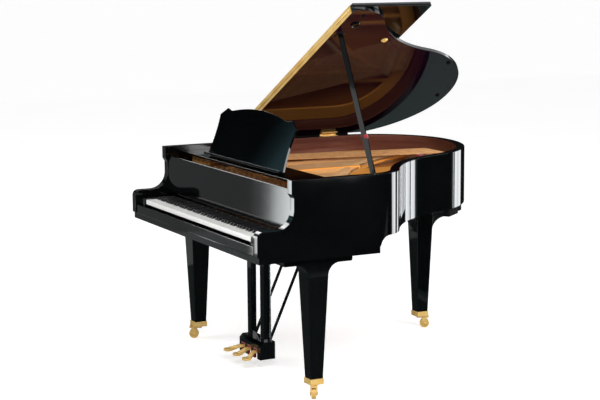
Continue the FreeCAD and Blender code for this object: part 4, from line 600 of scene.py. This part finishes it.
def turned(name, foot, axis, profile, finish, body, steps=36):
    """A turned piece: (height, radius) pairs along an axis from its foot."""
    axis = Vector(axis).normalized()
    across = axis.orthogonal().normalized()
    third = axis.cross(across)
    turns = [2 * math.pi * step / steps for step in range(steps)]
    spokes = [across * math.cos(turn) + third * math.sin(turn) for turn in turns]
    shape = bmesh.new()
    rings = []
    for height, radius in profile:
        centre = Vector(foot) + axis * height
        rings.append([shape.verts.new(centre + spoke * radius) for spoke in spokes])
    skin(shape, rings)
    piece(name, shape, finish, body)


def extruded(name, outline, push, rounding, finish, body):
    """A flat outline of points pushed through its thickness, with its edges rounded."""
    shape = bmesh.new()
    face = shape.faces.new([shape.verts.new(Vector(corner)) for corner in outline])
    swept = bmesh.ops.extrude_face_region(shape, geom=[face])
    moved = [item for item in swept["geom"] if isinstance(item, bmesh.types.BMVert)]
    bmesh.ops.translate(shape, verts=moved, vec=Vector(push))
    bmesh.ops.recalc_face_normals(shape, faces=shape.faces)
    edges = [edge for edge in shape.edges if edge.calc_face_angle(0.0) > BEVEL_ANGLE]
    bmesh.ops.bevel(shape, geom=edges, offset=rounding, segments=2, profile=0.5, affect="EDGES",
                    clamp_overlap=True)
    piece(name, shape, finish, body)


LID_ORIGIN = Vector((-0.724, 0.0, 0.992))
LID_ALONG = Vector((0.8771462, 0.0, 0.4802235))
LID_UP = Vector((-0.4802235, 0.0, 0.8771462))


def lid_place(reach, line, height):
    """A place on the raised lid: distance from its hinge, place along it and height over its pin."""
    return LID_ORIGIN + LID_ALONG * reach + Vector((0, line, 0)) + LID_UP * height


# Fittings under the lid, each with its foot sunk a little in the wood: boss, dot, second cup and buttons

FITTING_FOOT = 0.002
turned("lid_boss", lid_place(1.3276, -0.1649, FITTING_FOOT), -LID_UP,
       [(0.0, 0.0235), (0.004, 0.0235), (0.0065, 0.0215), (0.007, 0.018), (0.003, 0.0155), (0.0026, 0.006)],
       BLACK, "lid")
turned("lid_dot", lid_place(1.4146, -0.1639, FITTING_FOOT), -LID_UP,
       [(0.0, 0.009), (0.003, 0.009), (0.0048, 0.0065), (0.0054, 0.003)], RUBBER, "lid")
turned("lid_second_cup", lid_place(1.1556, 0.0724, FITTING_FOOT), -LID_UP,
       [(0.0, 0.017), (0.002, 0.017), (0.0035, 0.0155), (0.0062, 0.0125), (0.007, 0.0105), (0.0062, 0.0085),
        (0.0035, 0.0075), (0.0028, 0.003)], BRASS, "lid")
for mark, (reach, line) in enumerate(((0.8687, 0.5832), (0.4655, 0.740))):
    turned("lid_button_%d" % (mark + 1), lid_place(reach, line, FITTING_FOOT), -LID_UP,
           [(0.0, 0.0105), (0.0035, 0.0105), (0.006, 0.009), (0.0072, 0.006), (0.0075, 0.0025)],
           RUBBER, "lid")

# Block on the folded flap

block_foot = lid_place(1.429, 0.069, 0.0385)
block_side = Vector((0, 0.013, 0))
block_run = LID_ALONG * 0.011
extruded("flap_block", [block_foot + block_side + block_run, block_foot - block_side + block_run,
                        block_foot - block_side - block_run, block_foot + block_side - block_run],
         LID_UP * 0.0085, 0.0018, BLACK, "flap")

# Bead that closes the joint under the lid along the spine, broken at the hinges

BEAD_FOOT = 0.9899
BEAD_PROFILE = ((-0.7236, BEAD_FOOT), (-0.7236, 0.9960), (-0.7231, 0.9975), (-0.7218, 0.9982),
                (-0.7206, 0.9978), (-0.7198, 0.9966), (-0.7195, BEAD_FOOT))
BEAD_END = 0.002
BEAD_DROP = 0.0006


def spine_bead(name, start, end):
    """A rounded bead lying along the case's top edge, with its ends a little lower."""
    shape = bmesh.new()
    rings = []
    for place in (start, start + BEAD_END, end - BEAD_END, end):
        drop = BEAD_DROP if place in (start, end) else 0.0
        rings.append([shape.verts.new((x, place, max(z - drop, BEAD_FOOT))) for x, z in BEAD_PROFILE])
    skin(shape, rings)
    piece(name, shape, RUBBER, "case", SOFT_ANGLE)


for mark, (start, end) in enumerate(((-0.238, -0.088), (0.008, 0.260), (0.356, 0.43))):
    spine_bead("spine_bead_%d" % (mark + 1), start, end)

# Felts: round the pedals' slots, on the short prop's tip and along the hitch rail

PEDAL_SPACING = 0.068
BOX_FRONT = -0.4988


def slot_felt(name, middle):
    """A felt frame round the three closed sides of one pedal slot, on the box's front face."""
    outer, inner, top, under, foot = 0.0195, 0.0153, 0.0995, 0.0953, 0.0525
    points = [(-outer, foot), (-inner, foot), (-inner, under), (inner, under), (inner, foot), (outer, foot),
              (outer, top), (-outer, top)]
    outline = [(middle + across, BOX_FRONT, level) for across, level in points]
    extruded(name, outline, (0, -0.0028, 0), 0.0008, RED_FELT, "case")


for mark, word in enumerate(("left", "middle", "right")):
    slot_felt("slot_felt_" + word, PEDAL_SPACING * (mark - 1))


SHORT_TIP = [Vector(corner) for corner in ((0.585, -0.1979, 1.1432), (0.5909, -0.2051, 1.1462),
                                           (0.6003, -0.1956, 1.1504), (0.5944, -0.1884, 1.1474))]
SHORT_FOOT = Vector((0.667989, -0.196, 0.962))


def tip_felt(name, grow, reach, lip):
    """A felt cap over the short prop's square end: its growth, its reach down the stick and its lip."""
    middle = sum(SHORT_TIP, Vector()) / 4
    run = (middle - SHORT_FOOT).normalized()
    outline = [middle + (corner - middle) * grow - run * reach for corner in SHORT_TIP]
    extruded(name, outline, run * (reach + lip), 0.0012, RED_FELT, "short_prop")


tip_felt("short_prop_felt", 1.16, 0.016, 0.004)


def ribbon(name, line, width, low, high, finish, body, slot):
    """A strip of felt with a rounded top that follows a line of places."""
    places = [Vector((x, y, 0)) for x, y in line]
    shoulder = high - 0.0015
    crown = high - 0.0003
    profile = ((-1.0, low), (-1.0, shoulder), (-0.8, crown), (0.0, high), (0.8, crown), (1.0, shoulder),
               (1.0, low))
    shape = bmesh.new()
    rings = []
    for mark, place in enumerate(places):
        before = places[max(mark - 1, 0)]
        after = places[min(mark + 1, len(places) - 1)]
        run = (after - before).normalized()
        side = Vector((run.y, -run.x, 0)) * width / 2
        points = [place + side * share + Vector((0, 0, level)) for share, level in profile]
        rings.append([shape.verts.new(point) for point in points])
    skin(shape, rings)
    piece(name, shape, finish, body, SOFT_ANGLE)


HITCH_LINE = ((-0.144, 0.520), (-0.172, 0.556), (-0.199, 0.589), (-0.222, 0.632), (-0.242, 0.681))
ribbon("hitch_felt_tail", HITCH_LINE, 0.016, 0.920, 0.938, RED_FELT, "case", "hammer_felt")

# Screws in the lid hinges and caps on the casters' axles

HINGE_MIDDLES = (-0.040, 0.308)
SCREW_LINE = -0.7035
SCREW_FOOT = 0.9916
SCREW_OFFSETS = (-0.032, 0.0, 0.032)
SCREW_HEAD = ((0.0, 0.0038), (0.0006, 0.0038), (0.0012, 0.0030), (0.0015, 0.0015))
for mark, middle in enumerate(HINGE_MIDDLES):
    for step, offset in enumerate(SCREW_OFFSETS):
        foot = (SCREW_LINE, middle + offset, SCREW_FOOT)
        turned("hinge_screw_%d_%d" % (mark + 1, step + 1), foot, (0, 0, 1), SCREW_HEAD, BRASS, "case",
               20)
CAP_REACH = 0.0158
CAP_PROFILE = ((0.0, 0.0062), (0.0012, 0.0062), (0.0024, 0.0050), (0.0030, 0.0026))
AXLES = {
    "front_left": ((-0.6513, -0.5082, 0.024), (0.883, -0.469, 0)),
    "front_right": ((0.6612, -0.4983, 0.024), (0.469, 0.883, 0)),
    "rear": ((-0.2867, 0.6492, 0.024), (-0.883, 0.469, 0)),
}
for word, (centre, axis) in AXLES.items():
    for mark, sign in enumerate((1, -1)):
        out = Vector(axis).normalized() * sign
        turned("axle_cap_%s_%d" % (word, mark + 1), Vector(centre) + out * CAP_REACH, out, CAP_PROFILE, BRASS,
               "swivel_" + word, 24)

# Coved brackets beside the rear leg and blocks under the tail

COVE_STEPS = 12
COVE_SIDE = -0.338
COVE_WIDTH = 0.08
COVE_FOOT = 0.512
COVE_LIP = 0.012
COVE_SPRING = 0.516
COVE_RISE = 0.07
COVE_CROWN = 0.586
COVE_END = 0.022
COVE_TOP = 0.7115


def cove(name, wall, sign, reach):
    """A bracket with a hollow curve between the rear leg's side and the case's bottom."""
    points = [(wall, COVE_FOOT)]
    for step in range(COVE_STEPS + 1):
        turn = math.pi / 2 * step / COVE_STEPS
        line = wall + sign * (COVE_LIP + reach * (1 - math.cos(turn)))
        points.append((line, COVE_SPRING + COVE_RISE * math.sin(turn)))
    end = wall + sign * (reach + COVE_END)
    points += [(end, COVE_CROWN), (end, COVE_TOP), (wall, COVE_TOP)]
    outline = [(COVE_SIDE, line, level) for line, level in points]
    extruded(name, outline, (COVE_WIDTH, 0, 0), 0.0012, BLACK, "case")


cove("rear_cove_back", 0.664, 1, 0.082)
cove("rear_cove_front", 0.592, -1, 0.022)
TAIL_BLOCK_TOP = 0.7122
TAIL_BLOCKS = (
    ("tail_block_long", ((0.216, 0.482), (0.140, 0.581), (0.116, 0.563), (0.192, 0.464)), 0.040),
    ("tail_block_short", ((0.126, 0.598), (0.096, 0.628), (0.079, 0.611), (0.109, 0.581)), 0.032),
)
for name, corners, depth in TAIL_BLOCKS:
    outline = [(x, y, TAIL_BLOCK_TOP) for x, y in corners]
    extruded(name, outline, (0, 0, -depth), 0.0015, RUBBER, "case")

# Bead along the foot of the key slip

SLIP_FRONT = -0.7948
SLIP_FOOT = 0.6682
SLIP_STEPS = 8
SLIP_RINGS = ((-0.6825, 0.0008), (-0.6805, 0.0016), (0.6805, 0.0016), (0.6825, 0.0008))


def slip_bead():
    """A half-round bead in the corner between the slip and the keybed, with its ends run out."""
    shape = bmesh.new()
    rings = []
    for place, size in SLIP_RINGS:
        ring = []
        for step in range(SLIP_STEPS + 1):
            turn = math.pi * step / SLIP_STEPS
            level = SLIP_FOOT + size * math.cos(turn)
            ring.append(shape.verts.new((place, SLIP_FRONT - size * math.sin(turn), level)))
        rings.append(ring)
    skin(shape, rings)
    piece("slip_bead", shape, BLACK, "case", SOFT_ANGLE)


slip_bead()

# Ribs along the front of the desk's ledge

RIB_COUNT = 88
RIB_FIRST = -0.4084
RIB_SPAN = 0.8168
RIB_SUNK = -0.0003
RIB_PROFILE = ((-0.0022, RIB_SUNK), (-0.0022, 0.0006), (-0.0012, 0.0013), (0.0012, 0.0013), (0.0022, 0.0006),
               (0.0022, RIB_SUNK))
RIB_RINGS = ((0.06, 0.6), (0.12, 1.0), (0.86, 1.0), (0.93, 0.6))
LEDGE_FOOT = Vector((0, -0.5448, 0.9786))
LEDGE_RISE = Vector((0, 0.0039, 0.0108))
LEDGE_OUT = Vector((0, -0.9406, 0.3396))


def desk_ribs():
    """A row of low rounded ribs on the ledge's front face."""
    shape = bmesh.new()
    for mark in range(RIB_COUNT):
        middle = Vector((RIB_FIRST + RIB_SPAN * mark / (RIB_COUNT - 1), 0, 0))
        rings = []
        for share, grow in RIB_RINGS:
            place = LEDGE_FOOT + LEDGE_RISE * share + middle
            points = [place + Vector((side, 0, 0)) + LEDGE_OUT * max(level * grow, RIB_SUNK)
                      for side, level in RIB_PROFILE]
            rings.append([shape.verts.new(point) for point in points])
        skin(shape, rings)
    piece("desk_ribs", shape, BLACK, "desk")


desk_ribs()


# Floor, light and camera

FLOOR_REACH = 60
FLOOR_LIFT = 0.4


def shown_rays(tree):
    """One for rays from the camera, in reflections and through glass, otherwise nought."""
    paths = tree.nodes.new("ShaderNodeLightPath")
    value = paths.outputs["Is Camera Ray"]
    for name in ("Is Glossy Ray", "Is Transmission Ray"):
        either = tree.nodes.new("ShaderNodeMath")
        either.operation = "MAXIMUM"
        tree.links.new(value, either.inputs[0])
        tree.links.new(paths.outputs[name], either.inputs[1])
        value = either.outputs["Value"]
    return value


def level_corners(left, right, near, far, height):
    """Corners of a level card."""
    return [(left, near, height), (right, near, height), (right, far, height), (left, far, height)]


def plain_card(name, corners):
    """A card of four corners that belongs to the studio."""
    mesh = bpy.data.meshes.new(name)
    mesh.from_pydata([Vector(corner) for corner in corners], [], [(0, 1, 2, 3)])
    card = bpy.data.objects.new(name, mesh)
    scene.collection.objects.link(card)
    return card


floor = plain_card("floor", level_corners(-FLOOR_REACH, FLOOR_REACH, -FLOOR_REACH, FLOOR_REACH, 0))
pale = Finish("pale_floor", Roughness=0.9, Specular_IOR_Level=0.1)
pale.into(pale.ramp(pale.noise(1.4, 2), (0.3, (0.90, 0.90, 0.895)), (0.7, (0.92, 0.92, 0.92))), "Base Color")
pale.surface.inputs["Emission Color"].default_value = (1, 1, 1, 1)
pale.into(pale.both(shown_rays(pale.tree), FLOOR_LIFT), "Emission Strength")
floor.data.materials.append(pale.material)


def reflected_only(card):
    """Keep a card out of everything but reflections."""
    card.visible_camera = False
    card.visible_diffuse = False
    card.visible_shadow = False
    card.visible_transmission = False
    card.visible_volume_scatter = False


def glow(name, strength, tint=(1, 1, 1)):
    """A light material of one strength, with its nodes for a card that grades it."""
    material = bpy.data.materials.new(name)
    material.use_nodes = True
    tree = material.node_tree
    tree.nodes.remove(tree.nodes["Principled BSDF"])
    light = tree.nodes.new("ShaderNodeEmission")
    light.inputs["Color"].default_value = (*tint, 1)
    light.inputs["Strength"].default_value = strength
    tree.links.new(light.outputs["Emission"], tree.nodes["Material Output"].inputs["Surface"])
    return material, tree, light


def light_card(name, corners, strength, tint=(1, 1, 1)):
    """A card of one strength that only reflections see."""
    card = plain_card(name, corners)
    card.data.materials.append(glow(name + "_light", strength, tint)[0])
    reflected_only(card)


def graded_card(name, corners, gain, tint, *stops):
    """A card whose light changes from side to side through (place, share) stops."""
    card = plain_card(name, corners)
    material, tree, light = glow(name + "_light", 1.0, tint)
    place = tree.nodes.new("ShaderNodeTexCoord")
    split = tree.nodes.new("ShaderNodeSeparateXYZ")
    tree.links.new(place.outputs["Generated"], split.inputs["Vector"])
    steps = tree.nodes.new("ShaderNodeValToRGB")
    set_stops(steps, [(spot, (share, share, share)) for spot, share in stops])
    tree.links.new(split.outputs["X"], steps.inputs["Fac"])
    boost = tree.nodes.new("ShaderNodeMath")
    boost.operation = "MULTIPLY"
    boost.inputs[1].default_value = gain
    tree.links.new(steps.outputs["Color"], boost.inputs[0])
    tree.links.new(boost.outputs["Value"], light.inputs["Strength"])
    card.data.materials.append(material)
    reflected_only(card)


def card_corners(left, right, low, high):
    """Corners of an upright card between two places on the floor."""
    base = Vector((0, 0, low))
    top = Vector((0, 0, high))
    return [left + base, right + base, right + top, left + top]


BENT_SIDE = Vector((0.3, 0.25, 0))
FALLBOARD_END = Vector((0.2, -0.6, 0))
FRONT_AWAY = Vector((-0.876, -0.48, 0)).normalized()
FRONT_ASIDE = Vector((0.48, -0.876, 0)).normalized()
FRONT_DISTANCE = 3.0


def upright_corners(azimuth, half_angle, distance, low, high):
    """An upright card that faces the bent side."""
    turn = math.radians(azimuth)
    away = Vector((math.cos(turn), math.sin(turn), 0))
    aside = Vector((-away.y, away.x, 0)) * math.tan(math.radians(half_angle)) * distance
    middle = BENT_SIDE + away * distance
    return card_corners(middle - aside, middle + aside, low, high)


def front_corners(first, last, low, high):
    """An upright card ahead of the bass side, square to the fallboard's mirrored view."""
    middle = FALLBOARD_END + FRONT_AWAY * FRONT_DISTANCE
    return card_corners(middle + FRONT_ASIDE * first, middle + FRONT_ASIDE * last, low, high)


def behind_corners(left, right, depth, low, high):
    """An upright card behind the piano, square to its length."""
    return card_corners(Vector((left, depth, 0)), Vector((right, depth, 0)), low, high)


TENT_RADIUS = 14.0
TENT_PALE_FROM = 1.5
TENT_DARK = 0.03
TENT_PALE = 0.5


def tent():
    """A dark round tent that only reflections see: darkest at the horizon and paler overhead."""
    mesh = bpy.data.meshes.new("tent")
    shape = bmesh.new()
    bmesh.ops.create_uvsphere(shape, u_segments=64, v_segments=32, radius=TENT_RADIUS)
    shape.to_mesh(mesh)
    shape.free()
    dark_layer = bpy.data.objects.new("tent", mesh)
    scene.collection.objects.link(dark_layer)
    material, tree, light = glow("tent_cloth", 1.0, (0.93, 1.0, 1.0))
    place = tree.nodes.new("ShaderNodeTexCoord")
    split = tree.nodes.new("ShaderNodeSeparateXYZ")
    tree.links.new(place.outputs["Object"], split.inputs["Vector"])
    rise = tree.nodes.new("ShaderNodeMapRange")
    rise.inputs["From Min"].default_value = TENT_PALE_FROM
    rise.inputs["From Max"].default_value = TENT_RADIUS
    rise.inputs["To Min"].default_value = TENT_DARK
    rise.inputs["To Max"].default_value = TENT_PALE
    tree.links.new(split.outputs["Z"], rise.inputs["Value"])
    tree.links.new(rise.outputs["Result"], light.inputs["Strength"])
    mesh.materials.append(material)
    reflected_only(dark_layer)


tent()

# Strength of the black flags, tint of the bright panels, and the line of the cards close behind the bent side
FLAG = 0.01
COOL = (0.95, 0.98, 1.0)
SOFT_EDGES = ((0.0, 0.12), (0.13, 1.0), (0.87, 1.0), (1.0, 0.12))
CLOSE_BEHIND = 1.0
CLOSE_TOP = 1.5

# Dark floor in the reflections
light_card("tent_floor", level_corners(-TENT_RADIUS, TENT_RADIUS, -TENT_RADIUS, TENT_RADIUS, 0.001), 0.34,
           (0.92, 1.0, 0.99))
light_card("floor_behind", level_corners(-9, 1.0, 0.95, 9, 0.002), 0.17, (0.66, 1.0, 0.9))
light_card("floor_near", level_corners(-2.2, 3.0, -2.3, 0.9, 0.002), 0.07, (0.8, 1.0, 1.0))

# Flags and panels round the bent side and the lid
light_card("flag_treble", [(3.2, -1.2, 0.0), (3.2, 5.0, 0.0), (3.2, 5.0, 2.6), (3.2, -1.2, 2.6)], FLAG)
light_card("flag_back", upright_corners(75.0, 21.0, 3.1, 0.0, 2.0), FLAG)
light_card("flag_tail", upright_corners(144.0, 24.0, 3.1, 0.0, 2.0), FLAG)
graded_card("panel_back", upright_corners(108.7, 10.0, 3.0, 0.0, 2.0), 5.8, COOL, (0.0, 0.08), (0.07, 0.67),
            (0.5, 0.67), (0.6, 1.0), (0.94, 1.0), (1.0, 0.12))
graded_card("panel_shoulder", behind_corners(0.495, 0.905, CLOSE_BEHIND, 0.0, CLOSE_TOP), 8.5, COOL,
            *SOFT_EDGES)
light_card("flag_shoulder", behind_corners(0.27, 0.495, CLOSE_BEHIND, 0.0, CLOSE_TOP), FLAG)
light_card("flag_lid", behind_corners(-1.5, 0.46, 1.05, 0.93, 1.4), FLAG)
light_card("flag_gap", behind_corners(0.104, 0.130, CLOSE_BEHIND, 0.0, CLOSE_TOP), FLAG)

# Panels for the prop, the desk's edge, the lid, the bass side and the top edges
DESK_EDGE = [(3.19, 0.72, 0.62), (3.19, 1.05, 0.62), (3.19, 1.75, 1.95), (3.19, 1.38, 1.95)]
light_card("panel_prop", level_corners(1.2, 2.4, -5.4, -3.5, 3.2), 1.6)
light_card("panel_desk_edge", DESK_EDGE, 9.0)
graded_card("panel_high", upright_corners(105.0, 38.0, 3.3, 2.05, 4.6), 1.9, COOL, *SOFT_EDGES)
light_card("panel_left", [(-3.5, -1.6, 2.25), (-3.5, 0.6, 2.25), (-3.1, 0.6, 3.2), (-3.1, -1.6, 3.2)], 6.0)
light_card("panel_above", level_corners(0.2, 2.4, 0.2, 2.8, 4.4), 3.0)

# Cards for the fallboard, the arm and the desk
graded_card("card_fallboard", front_corners(-1.3, 0.55, 0.2, 1.3), 7.0, (0.95, 1.0, 1.0), (0.36, 0.027),
            (0.58, 0.027), (0.64, 0.03), (0.683, 0.066), (0.712, 0.17), (0.735, 0.5), (0.80, 1.0))
graded_card("card_arm", front_corners(0.2, 0.5, 0.05, 0.2), 5.0, (1, 1, 1), (0.0, 0.9), (1.0, 1.0))
graded_card("card_desk", front_corners(-1.1, 0.1, 1.42, 2.25), 0.5, (0.42, 0.85, 1.0), (0.0, 0.0),
            (0.6, 0.02), (0.68, 0.2), (0.74, 0.6), (1.0, 0.8))

WORLD_LIGHT = 0.62
WORLD_SHOWN = 1.0
world = bpy.data.worlds.new("studio")
scene.world = world
world.use_nodes = True
level = world.node_tree.nodes.new("ShaderNodeMapRange")
level.inputs["To Min"].default_value = WORLD_LIGHT
level.inputs["To Max"].default_value = WORLD_SHOWN
world.node_tree.links.new(shown_rays(world.node_tree), level.inputs["Value"])
sky = world.node_tree.nodes["Background"]
sky.inputs["Color"].default_value = (1, 1, 1, 1)
world.node_tree.links.new(level.outputs["Result"], sky.inputs["Strength"])


def soft_lamp(name, place, aim, size, power):
    """A broad lamp aimed at a place, left out of reflections."""
    lamp = bpy.data.lights.new(name, "AREA")
    lamp.shape = "RECTANGLE"
    lamp.size, lamp.size_y = size
    lamp.energy = power
    holder = bpy.data.objects.new(name, lamp)
    holder.location = place
    holder.rotation_mode = "QUATERNION"
    holder.rotation_quaternion = (Vector(aim) - Vector(place)).to_track_quat("-Z", "Y")
    holder.visible_glossy = False
    scene.collection.objects.link(holder)


soft_lamp("key_lamp", (5.4, -2.6, 3.9), (0, 0.1, 0.9), (2.6, 2.6), 260)
soft_lamp("side_lamp", (3.2, 1.0, 2.3), (-0.2, 0.15, 0.95), (1.8, 1.4), 70)
soft_lamp("fill_lamp", (-2.4, -5.0, 4.2), (0, -0.3, 0.8), (3.0, 3.0), 90)

CAMERA_PLACE = (6.839, -3.702, 1.954)
CAMERA_BACK = (0.8763, -0.4603, 0.1423)
CAMERA_HEADING = 62.289
CAMERA_ROLL = -0.2305
camera_data = bpy.data.cameras.new("camera")
camera = bpy.data.objects.new("camera", camera_data)
scene.collection.objects.link(camera)
scene.camera = camera
camera_data.sensor_width = 36.0
camera_data.lens = 97.21
camera_data.shift_x = -0.0356
camera_data.shift_y = -0.0248
camera_data.clip_end = 300.0
heading = math.radians(CAMERA_HEADING)
back = Vector(CAMERA_BACK).normalized()
right = Vector((math.cos(heading), math.sin(heading), 0))
upward = back.cross(right).normalized()
frame_axes = Matrix((right, upward, back)).transposed()
roll = Matrix.Rotation(math.radians(CAMERA_ROLL), 3, "Z")
camera.matrix_world = Matrix.Translation(CAMERA_PLACE) @ (frame_axes @ roll).to_4x4()

bpy.context.view_layer.update()
